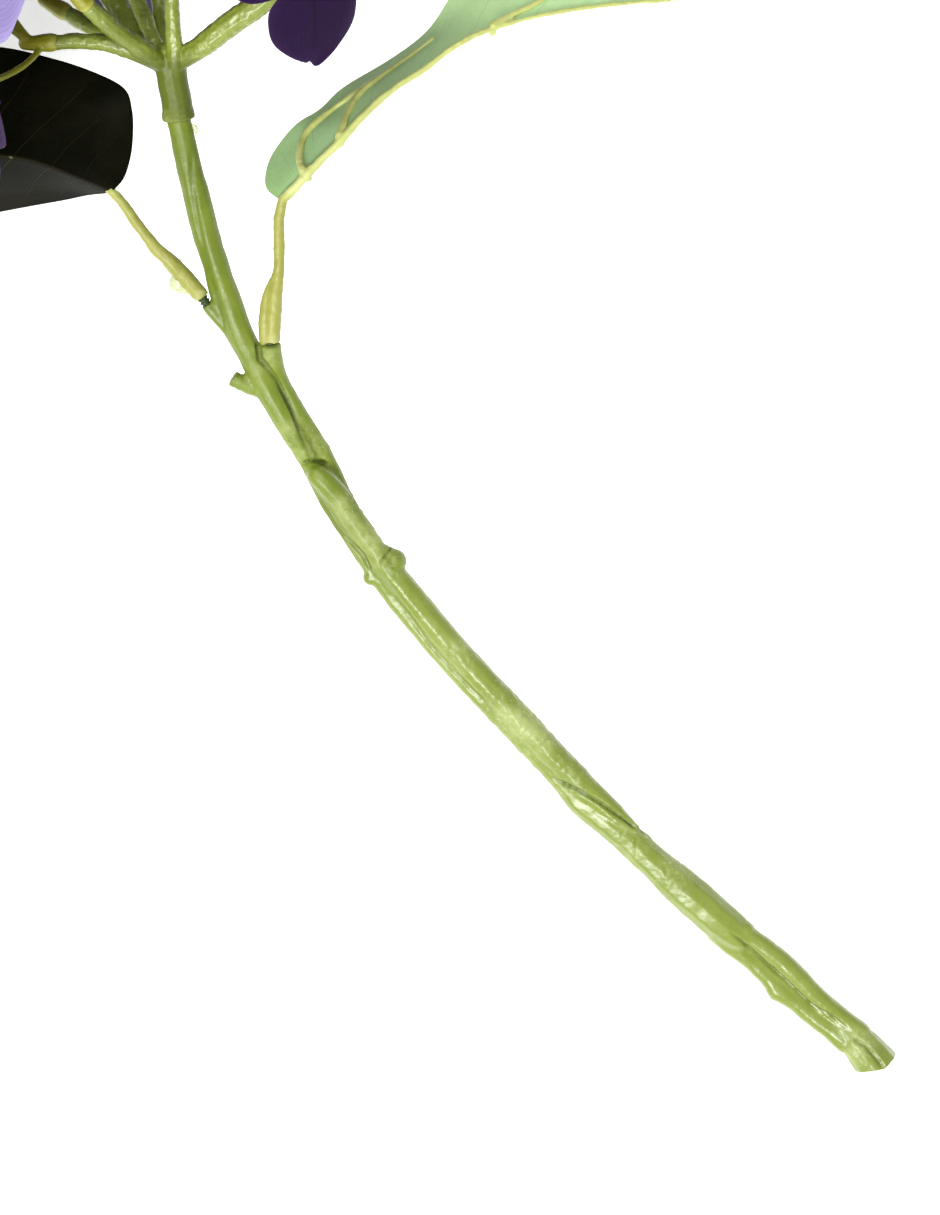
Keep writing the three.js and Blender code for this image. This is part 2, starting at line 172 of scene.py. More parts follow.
def domed(line: list[Vector], at_start: bool) -> list[Vector]:
    """Adds three shrinking points that round one end of a resampled line."""
    ordered = line if at_start else line[::-1]
    end, inner = ordered[0], ordered[1]
    out = (end.xyz - inner.xyz).normalized()
    radius = end[3]
    dome = []
    for angle in (80, 55, 30):
        turn = math.radians(angle)
        place = end.xyz + out * radius * math.sin(turn)
        dome.append(Vector((*place, radius * math.cos(turn))))
    ordered = dome + ordered
    return ordered if at_start else ordered[::-1]


def ball_mesh(centre: Vector, radius: float, squash: Vector | None = None) -> bmesh.types.BMesh:
    """A round lump, flattened along the vector squash by that vector's length as a share."""
    bm = bmesh.new()
    bmesh.ops.create_icosphere(bm, subdivisions=3, radius=radius)
    if squash is not None:
        axis = squash.normalized()
        for vert in bm.verts:
            vert.co -= axis * vert.co.dot(axis) * (1 - squash.length)
    bmesh.ops.translate(bm, verts=bm.verts, vec=centre)
    return bm


def gather(parts: Iterable[bmesh.types.BMesh]) -> bmesh.types.BMesh:
    """Puts several bmeshes into one, and frees them."""
    whole = bmesh.new()
    for part in parts:
        mesh = bpy.data.meshes.new("part")
        part.to_mesh(mesh)
        part.free()
        whole.from_mesh(mesh)
        bpy.data.meshes.remove(mesh)
    return whole


def fuse(parts: Iterable[bmesh.types.BMesh], voxel: float, rounds: int) -> bmesh.types.BMesh:
    """Melts overlapping solids into one skin with soft creases.

    Args:
        parts: Closed solids in design millimetres.
        voxel: Grid size of the skin, in millimetres.
        rounds: Passes of smoothing after it.

    Returns:
        One closed bmesh in design millimetres.
    """
    mesh = bpy.data.meshes.new("fused")
    bm = gather(parts)
    bm.to_mesh(mesh)
    bm.free()
    obj = link("fused", mesh)
    grid = obj.modifiers.new("Remesh", "REMESH")
    grid.mode = "VOXEL"
    grid.voxel_size = voxel
    settle(obj)
    skin = bmesh.new()
    skin.from_mesh(obj.data)
    mesh = obj.data
    bpy.data.objects.remove(obj)
    bpy.data.meshes.remove(mesh)
    for _ in range(rounds):
        bmesh.ops.smooth_vert(skin, verts=skin.verts, factor=0.5, use_axis_x=True,
                              use_axis_y=True, use_axis_z=True)
    return skin


def roughen(bm: bmesh.types.BMesh, waves: Sequence[tuple[float, float]],
            mask: Callable[[Vector], float] = lambda p: 1.0) -> None:
    """Moves a skin in and out with layered noise.

    Args:
        bm: The skin, changed in place.
        waves: (wavelength, height) of each layer, in millimetres.
        mask: Share of the movement at a point.
    """
    bm.normal_update()
    moves = []
    for vert in bm.verts:
        rise = sum(height * noise.noise(vert.co / length) for length, height in waves)
        moves.append(vert.normal * rise * mask(vert.co))
    for vert, move in zip(bm.verts, moves):
        vert.co += move


@dataclass(frozen=True)
class Groove:
    """A groove pressed into the upper side of a skin, along a line in plan."""

    line: Sequence[Plan]
    depth: float
    width: float

    def share(self, place: Vector) -> float:
        """How deep the groove is at a place in plan, from 0 beside it to 1 in its bottom."""
        best = 0.0
        last = len(self.line) - 1
        for i in range(last):
            a, b = Vector(self.line[i]), Vector(self.line[i + 1])
            run = b - a
            t = min(max((place - a).dot(run) / run.length_squared, 0.0), 1.0)
            distance = (place - a - run * t).length
            if distance < self.width:
                whole = (i + t) / last
                fade = smooth(0.0, 0.16, whole) * smooth(1.0, 0.84, whole)
                best = max(best, (1 - smooth(0.0, 1.0, distance / self.width)) * (0.25 + 0.75 * fade))
        return best


def press(bm: bmesh.types.BMesh, grooves: Sequence[Groove]) -> None:
    """Presses grooves into a skin, and keeps their depth as a mark layer for the shade painted along
    them.
    """
    bm.normal_update()
    # This layer's mark paints shade into the colour along the grooves.
    layer = bm.verts.layers.float.new("crease_shade")
    moves = []
    for vert in bm.verts:
        depth, mark = 0.0, 0.0
        if vert.normal.z > 0.1:
            for groove in grooves:
                share = groove.share(vert.co.xy) * smooth(0.1, 0.5, vert.normal.z)
                depth = max(depth, share * groove.depth)
                mark = max(mark, share * min(groove.depth, 1.0))
        vert[layer] = mark
        moves.append(vert.normal * -depth)
    for vert, move in zip(bm.verts, moves):
        vert.co += move


def place_piece(obj: bpy.types.Object, nodes: Sequence[str],
                material: bpy.types.Material) -> bpy.types.Object:
    """Dresses a finished piece, and lets it stand for CAD nodes.

    Args:
        obj: The piece.
        nodes: CAD nodes that it replaces; none for a piece that only adds detail.
        material: Its finish.

    Returns:
        The same piece.
    """
    obj.data.materials.clear()
    obj.data.materials.append(material)
    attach(obj, "root")
    if nodes:
        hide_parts(*nodes)
    log.info("%s: %d faces, stands for %s", obj.name, len(obj.data.polygons),
             ", ".join(nodes) or "detail")
    return obj


# ---- Shader maths ------------------------------------------------------------------------------
class Wire:
    """A shader socket that takes part in written arithmetic."""

    def __init__(self, shader: "Shader", socket: bpy.types.NodeSocket) -> None:
        """Wraps a socket of a shader."""
        self.shader = shader
        self.socket = socket

    def _math(self, operation: str, first: Any, second: Any = 0.0) -> "Wire":
        """Adds a Math node on two values or wires."""
        return self.shader.node("ShaderNodeMath", {"operation": operation}, {0: first, 1: second})

    def __add__(self, other: Any) -> "Wire":
        """The sum."""
        return self._math("ADD", self, other)

    __radd__ = __add__

    def __sub__(self, other: Any) -> "Wire":
        """The difference."""
        return self._math("SUBTRACT", self, other)

    def __rsub__(self, other: Any) -> "Wire":
        """The difference from a number."""
        return self._math("SUBTRACT", other, self)

    def __mul__(self, other: Any) -> "Wire":
        """The product."""
        return self._math("MULTIPLY", self, other)

    def __truediv__(self, other: Any) -> "Wire":
        """The quotient."""
        return self._math("DIVIDE", self, other)

    def __abs__(self) -> "Wire":
        """The size without the sign."""
        return self._math("ABSOLUTE", self)

    def sine(self) -> "Wire":
        """The sine of an angle in radians."""
        return self._math("SINE", self)

    def clamp(self) -> "Wire":
        """The value kept between 0 and 1."""
        return self.shader.node("ShaderNodeClamp", {}, {"Value": self})

    def step(self, low: float, high: float) -> "Wire":
        """A smooth step from 0 at low to 1 at high."""
        return self.shader.node("ShaderNodeMapRange", {"interpolation_type": "SMOOTHSTEP"},
                                {"Value": self, "From Min": low, "From Max": high})


Colour = tuple[float, float, float]


class Shader:
    """A procedural material that is written as expressions."""

    def __init__(self, name: str) -> None:
        """Starts a material with one surface shader."""
        self.material = bpy.data.materials.new(name)
        self.material.use_nodes = True
        self.tree = self.material.node_tree
        self.tree.nodes.clear()
        self.output = self.tree.nodes.new("ShaderNodeOutputMaterial")
        self.surface = self.tree.nodes.new("ShaderNodeBsdfPrincipled")
        self.tree.links.new(self.surface.outputs[0], self.output.inputs[0])

    def node(self, kind: str, settings: dict[str, Any] | None = None,
             inputs: dict[int | str, Any] | None = None, out: int | str = 0) -> Wire:
        """Adds a node.

        Args:
            kind: The node's type.
            settings: Its properties, and "stops" for a ramp's (place, colour) pairs.
            inputs: Values or wires by socket name or number.
            out: The output to return.

        Returns:
            The chosen output.
        """
        made = self.tree.nodes.new(kind)
        for key, value in (settings or {}).items():
            if key == "stops":
                self._stops(made.color_ramp, value)
            else:
                setattr(made, key, value)
        for key, value in (inputs or {}).items():
            self.feed(made.inputs[key], value)
        return Wire(self, made.outputs[out])

    def _stops(self, ramp: bpy.types.ColorRamp, stops: Sequence[tuple[float, Colour]]) -> None:
        """Sets the colours of a ramp."""
        while len(ramp.elements) < len(stops):
            ramp.elements.new(0.5)
        for element, (place, colour) in zip(ramp.elements, stops):
            element.position = place
            element.color = (*colour, 1.0)

    def feed(self, socket: bpy.types.NodeSocket, value: Any) -> None:
        """Links a wire to a socket, or sets its value."""
        if isinstance(value, Wire):
            self.tree.links.new(value.socket, socket)
        elif socket.type == "RGBA" and len(value) == 3:
            socket.default_value = (*value, 1.0)
        else:
            socket.default_value = value

    def set(self, **inputs: Any) -> None:
        """Sets or links the surface shader's sockets; an underscore stands for a space."""
        for key, value in inputs.items():
            self.feed(self.surface.inputs[key.replace("_", " ")], value)

    def place(self) -> Wire:
        """Object coordinates, in metres."""
        return self.node("ShaderNodeTexCoord", out="Object")

    def uv(self) -> tuple[Wire, Wire]:
        """The two coordinates of the piece's own map."""
        flat = self.node("ShaderNodeUVMap", {"uv_map": "shape"})
        split = self.node("ShaderNodeSeparateXYZ", {}, {0: flat})
        return split, Wire(self, split.socket.node.outputs[1])

    def mark(self, name: str) -> Wire:
        """A painted attribute of the mesh."""
        return self.node("ShaderNodeAttribute", {"attribute_name": name}, out="Fac")

    def noise(self, scale: float, detail: float = 3.0, rough: float = 0.5,
              at: Wire | None = None) -> Wire:
        """Fractal noise between 0 and 1."""
        return self.node("ShaderNodeTexNoise", {}, {
            "Vector": at or self.place(), "Scale": scale, "Detail": detail, "Roughness": rough})

    def mix(self, share: Any, first: Any, second: Any) -> Wire:
        """A colour between two colours."""
        return self.node("ShaderNodeMix", {"data_type": "RGBA"}, {0: share, 6: first, 7: second}, out=2)

    def bump(self, height: Wire, strength: float, distance: float) -> Wire:
        """A normal raised by a height."""
        return self.node("ShaderNodeBump", {}, {
            "Height": height, "Strength": strength, "Distance": distance})


def srgb(red: float, green: float, blue: float) -> Colour:
    """A linear colour from 0 to 255 screen values."""
    return tuple(((c / 255 + 0.055) / 1.055) ** 2.4 if c > 10.3 else c / 255 / 12.92
                 for c in (red, green, blue))


# ---- Finishes ----------------------------------------------------------------------------------
@dataclass(frozen=True)
class MouldedPlastic:
    """Soft moulded plastic with a mottled colour, a glossy skin and fine grain."""

    name: str
    base: Colour
    light: Colour
    dark: Colour
    roughness: float = 0.34
    grain: float = 0.35
    # Colour of scuffs and wear; on the branching head it also paints a highlight line.
    wear_and_highlight: Colour = (0.45, 0.5, 0.3)
    pale: Colour = (0.2, 0.24, 0.06)
    gloss: float = 0.24
    scatter: float = 0.12

    def build(self) -> bpy.types.Material:
        """Writes the material."""
        sh = Shader(self.name)
        place = sh.place()
        blotch = sh.noise(90.0, 4.0, 0.6, at=place).step(0.35, 0.68)
        cloud = sh.noise(28.0, 2.0, 0.5, at=place).step(0.4, 0.7)
        speck = sh.noise(1150.0, 2.0, 0.6, at=place).step(0.6, 0.74)
        wear_and_highlight = sh.mark("wear_and_highlight")
        crease_shade = sh.mark("crease_shade")
        colour = sh.mix(blotch * 0.55, self.base, self.light)
        colour = sh.mix(cloud * 0.4, colour, self.dark)
        pale = sh.mark("pale")
        colour = sh.mix(pale * (0.65 + blotch * 0.35), colour, self.pale)
        # This mark paints real scuffs, and on the branching head also a painted highlight line along the
        # sleeve's lip.
        colour = sh.mix((wear_and_highlight * (speck * 0.6 + blotch * 0.35)).clamp(), colour, self.wear_and_highlight)
        # Painted shade: the skin is darkened along the pressed grooves, by their depth.
        colour = sh.mix((crease_shade * 0.8).clamp(), colour, self.dark)
        rough = (self.roughness - pale * self.gloss * 0.45 + blotch * 0.08
                 + wear_and_highlight * 0.16 - speck * 0.08).clamp()
        fine = sh.noise(1400.0, 3.0, 0.6, at=place)
        dents = sh.noise(420.0, 2.0, 0.5, at=place)
        height = fine * 0.35 + dents * 0.65 + wear_and_highlight * speck * 1.6
        sh.set(Base_Color=colour, Roughness=rough, IOR=1.5, Specular_IOR_Level=0.38,
               Subsurface_Weight=self.scatter, Subsurface_Radius=(0.6, 0.8, 0.2),
               Subsurface_Scale=0.002,
               Coat_Weight=0.04 + pale * self.gloss, Coat_Roughness=0.32,
               Normal=sh.bump(height, self.grain, 0.0004))
        return sh.material


@dataclass(frozen=True)
class PetalCloth:
    """Printed polyester of a petal: a darker middle, paler margin, fine veins and a weave."""

    name: str
    body: Colour
    margin: Colour
    heart: Colour
    vein: Colour
    heart_reach: float = 0.34
    vein_depth: float = 0.35
    specular: float = 0.35

    def build(self) -> bpy.types.Material:
        """Writes the material."""
        sh = Shader(self.name)
        across, along = sh.uv()
        side = abs(across - 0.5) * 2.0
        place = sh.place()
        cloud = sh.noise(120.0, 4.0, 0.6, at=place)
        wander = sh.noise(260.0, 2.0, 0.5, at=place) - 0.5
        fan = (across - 0.5) / (along * 0.7 + 0.3)
        veins = abs(((fan * 46.0) + wander * 3.0).sine())
        fine = (1.0 - veins.step(0.0, 0.42)) * along.step(0.12, 0.5) * self.vein_depth
        middle = (1.0 - side.step(0.0, 0.07)) * (1.0 - along.step(0.55, 1.0)) * 0.55
        rim = (side.step(0.62, 1.05) + along.step(0.8, 1.03)).clamp()
        heart = 1.0 - (along + (cloud - 0.5) * 0.25).step(self.heart_reach * 0.3, self.heart_reach)
        colour = sh.mix(rim * 0.6 + (cloud - 0.5) * 0.5, self.body, self.margin)
        colour = sh.mix((heart * 0.9).clamp(), colour, self.heart)
        colour = sh.mix((fine + middle).clamp(), colour, self.vein)
        weave = sh.noise(5200.0, 2.0, 0.6, at=place)
        height = weave * 0.25 - fine * 0.9 - middle * 1.4 + cloud * 0.3
        sh.set(Base_Color=colour, Roughness=(0.62 - rim * 0.08 + cloud * 0.1).clamp(),
               IOR=1.4, Specular_IOR_Level=self.specular,
               Subsurface_Weight=0.12, Subsurface_Radius=(0.5, 0.3, 0.7), Subsurface_Scale=0.0015,
               Normal=sh.bump(height, 0.45, 0.0003))
        return sh.material


@dataclass(frozen=True)
class LeafCloth:
    """Coated polyester of a leaf, one look on its face and another on its back."""

    name: str
    body: Colour
    patch: Colour
    vein: Colour
    back: Colour
    back_patch: Colour
    # Painted light: a lighter colour for the far part of the back, making up for the shade it falls in.
    back_far_painted_light: Colour
    roughness: float = 0.36
    specular: float = 0.3
    rows: float = 9.0

    def build(self) -> bpy.types.Material:
        """Writes the material; the mesh's mark "back" is 1 on the leaf's underside."""
        sh = Shader(self.name)
        across, along = sh.uv()
        side = abs(across - 0.5) * 2.0
        place = sh.place()
        cloud = sh.noise(70.0, 4.0, 0.55, at=place)
        wander = (sh.noise(45.0, 2.0, 0.5, at=place) - 0.5) * 0.7
        rows = abs(((along - side * 0.17) * self.rows * math.pi + wander).sine())
        ribs = (1.0 - rows.step(0.0, 0.12)) * (1.0 - side.step(0.75, 0.98))
        spine = 1.0 - side.step(0.0, 0.05)
        network = sh.node("ShaderNodeTexVoronoi", {"feature": "DISTANCE_TO_EDGE"}, {
            "Vector": place, "Scale": 420.0}, out="Distance")
        mesh_lines = 1.0 - network.step(0.0, 0.09)
        back = sh.mark("back")
        rim = side.step(0.9, 1.0)
        face = sh.mix(cloud.step(0.35, 0.7) * 0.7, self.body, self.patch)
        face = sh.mix((ribs * 0.55 + spine * 0.6 + mesh_lines * 0.08).clamp(), face, self.vein)
        under = sh.mix(cloud.step(0.3, 0.7), self.back, self.back_patch)
        # Painted light: the back turns lighter towards the far end, where the blade tilts into shade.
        under = sh.mix(along.step(0.12, 0.6) * 0.85, under, self.back_far_painted_light)
        under = sh.mix((mesh_lines * 0.05 + ribs * 0.1).clamp(), under, self.patch)
        colour = sh.mix(back, face, under)
        weave = sh.noise(4200.0, 2.0, 0.6, at=place)
        height = cloud * 0.6 - ribs * 0.7 * (1.0 - back) - mesh_lines * 0.05 + weave * 0.1 + rim * 0.2
        sh.set(Base_Color=colour, Roughness=(self.roughness + cloud * 0.16 + back * 0.18).clamp(),
               IOR=1.36, Specular_IOR_Level=self.specular, Normal=sh.bump(height, 0.45, 0.0005))
        return sh.material


@dataclass(frozen=True)
class ClearGlue:
    """Hot-melt glue, milky and half clear."""

    name: str = "clear_glue"
    tint: Colour = (0.4, 0.46, 0.2)

    def build(self) -> bpy.types.Material:
        """Writes the material."""
        sh = Shader(self.name)
        cloud = sh.noise(700.0, 3.0, 0.6)
        sh.set(Base_Color=sh.mix(cloud.step(0.3, 0.7), self.tint, (0.5, 0.54, 0.3)),
               Roughness=0.12 + cloud * 0.15, Alpha=(0.55 + cloud * 0.3).clamp(), IOR=1.48,
               Coat_Weight=0.3, Normal=sh.bump(cloud, 0.3, 0.0004))
        return sh.material


@dataclass(frozen=True)
class DrawnSteel:
    """Drawn steel wire with fine lines along it."""

    name: str = "drawn_steel"

    def build(self) -> bpy.types.Material:
        """Writes the material."""
        sh = Shader(self.name)
        lines = sh.noise(1800.0, 2.0, 0.6)
        sh.set(Base_Color=sh.mix(lines, (0.32, 0.33, 0.34), (0.6, 0.6, 0.58)), Metallic=1.0,
               Roughness=(0.25 + lines * 0.25).clamp(), Normal=sh.bump(lines, 0.2, 0.0002))
        return sh.material


class Finish(Enum):
    """Every finish of the spray."""

    STALK = MouldedPlastic("stalk_plastic", srgb(95, 110, 22), srgb(108, 122, 32),
                           srgb(68, 82, 12), 0.42, 0.45, srgb(172, 180, 124), srgb(112, 125, 48))
    BRANCH = MouldedPlastic("branch_plastic", srgb(75, 87, 8), srgb(88, 100, 16),
                            srgb(54, 64, 5), 0.5, 0.8, srgb(172, 180, 100), srgb(112, 124, 36), 0.45)
    PEDICEL = MouldedPlastic("pedicel_plastic", srgb(142, 142, 26), srgb(154, 154, 40),
                             srgb(106, 102, 14), 0.34, 0.4, srgb(186, 188, 110))
    PETIOLE = MouldedPlastic("petiole_plastic", srgb(131, 132, 57), srgb(144, 145, 70),
                             srgb(108, 108, 38), 0.44, 0.45, srgb(194, 194, 146),
                             srgb(170, 176, 104), 0.08)
    PEG = MouldedPlastic("peg_plastic", srgb(44, 62, 24), srgb(60, 78, 34), srgb(24, 36, 12),
                         0.4, 0.3)
    LILAC = PetalCloth("lilac_petal", srgb(113, 102, 145), srgb(137, 126, 168), srgb(66, 24, 80),
                       srgb(90, 66, 124), 0.36, 0.4)
    AUBERGINE = PetalCloth("aubergine_petal", srgb(29, 12, 44), srgb(44, 25, 60), srgb(16, 7, 22),
                           srgb(17, 8, 26), 0.3, 0.5, 0.12)
    UPPER_LEAF = LeafCloth("upper_leaf", srgb(8, 9, 3), srgb(19, 18, 8), srgb(30, 26, 13),
                           srgb(90, 108, 66), srgb(74, 92, 56), srgb(82, 100, 60), 0.46, 0.06)
    UNDER_LEAF = LeafCloth("under_leaf", srgb(24, 30, 18), srgb(40, 46, 30), srgb(60, 64, 36),
                           srgb(134, 165, 109), srgb(126, 158, 114), srgb(168, 199, 142), 0.42)
    GLUE = ClearGlue()
    STEEL = DrawnSteel()

    def material(self) -> bpy.types.Material:
        """The finish's material, built once."""
        name = self.value.name
        return bpy.data.materials.get(name) or self.value.build()


# ---- The stalk ---------------------------------------------------------------------------------
@dataclass
class Rise:
    """How high the stalk stands between the head and the cut end."""

    hub: float
    end: float = 5.5
    reach: float = 255.0

    def at(self, y: float) -> float:
        """The height of the stalk's line at a distance -y from the branching point."""
        share = -y / self.reach
        return self.hub - (self.hub - self.end) * (0.8 * share + 0.2 * share * share)

    def lay(self, run: Sequence[Point]) -> list[Point]:
        """Points (x, y, lift, radius) of a strand as places in space."""
        return [(x, y, self.at(y) + lift, radius) for x, y, lift, radius in run]


@dataclass
class Stalk:
    """The bundled strands of the stalk, moulded in one, with stubs, knobs and a flared end."""

    rise: Rise
    voxel: float = 0.42
    main: Sequence[Point] = (
        (0.6, -7, 0, 2.1), (1.5, -13.2, 0, 2.1), (1.6, -14, 0, 3.1), (2.3, -17, 0, 3.2),
        (3.3, -22, 0, 3.3),
        (5, -29.5, 0, 3.5), (7, -37, 0, 3.6), (8.9, -44.5, 0, 3.6), (11.4, -52.1, 0, 3.45),
        (14, -59.6, 0, 3.4), (16.7, -67.2, 0, 3.4), (20.2, -74.8, 0, 3.4), (25.3, -84.9, 0, 3.4),
        (29.9, -92.5, 0, 3.3), (34.3, -100.1, -0.6, 3.0), (36.3, -105.1, -0.4, 2.4),
        (38.9, -110.2, 0, 2.2), (42.0, -115.3, 0, 2.2), (45.5, -120.4, 0, 2.3),
        (49.9, -127, 0, 2.4), (55.9, -135.7, 0, 2.35), (64.7, -146, -0.2, 2.4),
        (78.4, -161.4, -0.6, 2.5), (88.9, -171.7, -0.8, 2.8), (99.2, -182, -0.6, 3.4),
        (104.1, -187.7, -0.4, 3.7), (110.9, -192.9, 0, 4.1), (116.5, -197.5, 0, 4.35),
        (122.1, -202.7, 0, 4.4), (127.8, -207.9, 0, 4.95), (133.9, -213.1, 0, 5.25),
        (139.9, -218.4, 0, 5.2), (144.6, -222, 0, 4.6))
    upper: Sequence[Point] = (
        (36.5, -103.9, 2.0, 3.0), (38.9, -106.2, 2.0, 3.25), (42.3, -110.3, 1.5, 3.2),
        (45.7, -115.3, 1.5, 3.2), (49.2, -120.4, 1.5, 3.2), (53.6, -126.8, 1.4, 3.4),
        (60.9, -135.7, 1.2, 3.6), (69.4, -146, 1.0, 3.6), (83.5, -161.4, 0.9, 3.65),
        (93.2, -171.7, 0.9, 3.7), (103, -182, 0.9, 3.6), (108.4, -187.2, 1, 3.4),
        (113.4, -191.8, 1.4, 2.9), (117.5, -194.6, 2.2, 1.7))
    right: Sequence[Point] = (
        (24.7, -70.8, 2.2, 2.75), (24.9, -73.5, 1.4, 2.8), (25.9, -78.6, -0.6, 2.8),
        (29.2, -84.9, -1.8, 2.8), (33.8, -92.3, -2, 2.75), (37.8, -98.8, -2.2, 2.7),
        (41.0, -105.1, -2.6, 2.5), (44.7, -111.7, -2.6, 2.0))
    left: Sequence[Point] = (
        (8.4, -60.6, 0, 1.55), (9.8, -62.4, 0, 1.75), (12.4, -65.2, -0.2, 1.8),
        (14.9, -68.4, -0.4, 1.85), (17.4, -72.7, -0.8, 1.8), (20.4, -78.3, -1.6, 1.6))
    beside: Sequence[Point] = (
        (8.8, -49.4, 0.2, 1.2), (9.4, -51.6, 0.2, 1.75), (10.4, -55.4, 0.1, 1.9),
        (12.0, -60.5, 0, 1.9), (14.2, -66.0, -0.4, 1.7), (16.6, -71, -0.8, 1.4))
    spare: Sequence[Point] = ((15.0, -79.2, 0.2, 2.05), (17.6, -80.6, 0, 2.15), (22, -82.6, -0.8, 2.0))
    split_right: Sequence[Point] = (
        (141, -218.4, 0.6, 3.4), (146.3, -222, 0.8, 2.9), (150.8, -225.2, 0.9, 2.75),
        (155.7, -228.8, 0.9, 2.75), (160.7, -234, 0.9, 2.75), (165.9, -239.2, 0.8, 2.7),
        (171.7, -244, 0.6, 2.6), (176.3, -247.7, 0.4, 3.0))
    split_left: Sequence[Point] = (
        (139.6, -221, -0.4, 3.6), (143.6, -225.2, -0.6, 3.0), (147.9, -228.9, -0.6, 2.65),
        (153.2, -234.3, -0.6, 2.6), (155, -236.5, -0.5, 2.95), (159.6, -239.9, -0.5, 2.55),
        (166.2, -244.9, -0.2, 2.9), (172.8, -249.8, 0, 3.6))
    under: Sequence[Point] = (
        (141.5, -219.0, 0, 2.0), (149.0, -227.2, 0, 1.55), (156.4, -234.8, 0, 1.5),
        (165.8, -243.1, 0, 1.6), (173, -249.2, 0, 2.0))
    collar: Sequence[Point] = (
        (171.6, -246.2, 0, 3.0), (174.6, -249, 0, 4.2), (177.2, -251.8, 0, 5.0),
        (181.0, -256.4, 0, 5.6), (184.2, -260.2, 0, 5.8))
    lumps: Sequence[Point] = (
        (55.9, -125.9, 1.0, 3.25), (54.2, -124.0, 1.6, 2.2), (53.6, -127.6, 0.4, 2.4),
        (50.1, -130.0, -0.2, 2.2), (154.8, -237.2, -0.5, 2.5), (146.0, -221.2, 1.2, 2.9))
    scuffs: Sequence[Spot] = (
        (92, -168, 12), (85, -163, 9), (101, -181, 7), (52, -118, 8), (45, -112, 6), (56, -126, 6),
        (118, -197, 6), (72, -150, 6), (23, -74, 5), (16, -80, 5), (128, -207, 7), (176, -252, 7),
        (31, -95, 7), (36, -97, 5))
    grooves: Sequence[Groove] = (
        Groove(((5.4, -20), (4.9, -28), (6.1, -37.8), (8.0, -48.0), (11.4, -59.6), (13.4, -67)),
               0.35, 1.2),
        Groove(((21.3, -68.4), (22.0, -74.6), (26.4, -79.8), (30.2, -87.6), (34.8, -99.6)), 0.9, 1.0),
        Groove(((36.3, -108.6), (41.4, -117.6), (48.0, -124.2), (50.4, -129.4)), 0.6, 0.9),
        Groove(((50.6, -127.2), (55.6, -133.6), (60.2, -140.1), (64.8, -147.0), (69.4, -152.0),
                (76.6, -159.4), (82.2, -164.0)), 0.3, 0.8),
        Groove(((96.8, -181.6), (102.4, -184.4), (108.6, -187.8), (114.6, -191.8), (120.0, -195.8)),
               1.0, 0.8),
        Groove(((142.6, -221.6), (145.4, -223.8), (151.4, -229.2), (157.4, -234.6), (163.4, -240.4),
                (168.4, -243.2), (172.6, -246.2)), 0.8, 0.65),
        Groove(((174.0, -248.8), (177.8, -251.2), (180.4, -254.2), (182.6, -257.2)), 0.7, 0.9),
        Groove(((52.2, -127.0), (54.2, -123.8), (55.6, -121.8)), 0.7, 0.6),
        Groove(((32.6, -101.2), (34.4, -100.4), (36.4, -100.1), (39.0, -101.2)), 1.1, 0.9))

    def skin(self) -> bmesh.types.BMesh:
        """The fused skin of all strands, before it is cut."""
        runs = [(self.main, (False, True)), (self.upper, (True, True)), (self.right, (False, True)),
                (self.left, (False, True)), (self.beside, (True, True)), (self.spare, (False, True)),
                (self.split_right, (True, True)), (self.split_left, (True, True)),
                (self.under, (True, True)), (self.collar, (True, False))]
        parts = [tube_mesh(self.rise.lay(run), 16, 0.8, ends) for run, ends in runs]
        parts += [ball_mesh(Vector((x, y, self.rise.at(y) + lift)), radius)
                  for x, y, lift, radius in self.lumps]
        return fuse(parts, self.voxel, 3)

    def cut_end(self, bm: bmesh.types.BMesh) -> None:
        """Cuts the flared end on the slant, with a bend in the cut."""
        place = Vector((182.8, -256.4, self.rise.at(-256.4)))
        for normal in ((0.69, -0.72, -0.1), (0.2, -0.98, -0.14)):
            cut = bmesh.ops.bisect_plane(bm, geom=bm.verts[:] + bm.edges[:] + bm.faces[:], dist=1e-4,
                                         plane_co=place, plane_no=normal, clear_outer=True)
            rim = [item for item in cut["geom_cut"] if isinstance(item, bmesh.types.BMEdge)]
            face = bmesh.ops.edgeloop_fill(bm, edges=rim)["faces"]
            bmesh.ops.triangulate(bm, faces=face)

    def scuffed(self, place: Vector) -> float:
        """How scuffed the skin is at a place, from 0 to 1."""
        return max(1 - smooth(0.3, 1.1, (place.xy - Vector((x, y))).length / radius)
                   for x, y, radius in self.scuffs)

    def paint(self, obj: bpy.types.Object) -> None:
        """Marks where the skin is scuffed, and how pale it is towards the cut end."""
        mesh = obj.data
        wear_and_highlight = mesh.attributes.new("wear_and_highlight", "FLOAT", "POINT")
        wear_and_highlight.data.foreach_set("value", [self.scuffed(vert.co / MM - SHIFT) for vert in mesh.vertices])
        pale = mesh.attributes.new("pale", "FLOAT", "POINT")
        pale.data.foreach_set("value", [smooth(-95, -150, vert.co.y / MM - SHIFT.y)
                                        for vert in mesh.vertices])

    def build(self) -> bpy.types.Object:
        """Makes and dresses the stalk."""
        bm = self.skin()
        roughen(bm, ((9.0, 0.32), (3.2, 0.13), (1.3, 0.04)), lambda p: smooth(-14, -24, p.y))
        roughen(bm, ((1.7, 0.24), (0.95, 0.16)), self.scuffed)
        press(bm, self.grooves)
        self.cut_end(bm)
        for vert in bm.verts:
            vert.co.z = max(vert.co.z, 0.05)
        obj = finish_mesh(bm, "stalk")
        self.paint(obj)
        return place_piece(obj, ["stem"], Finish.STALK.material())


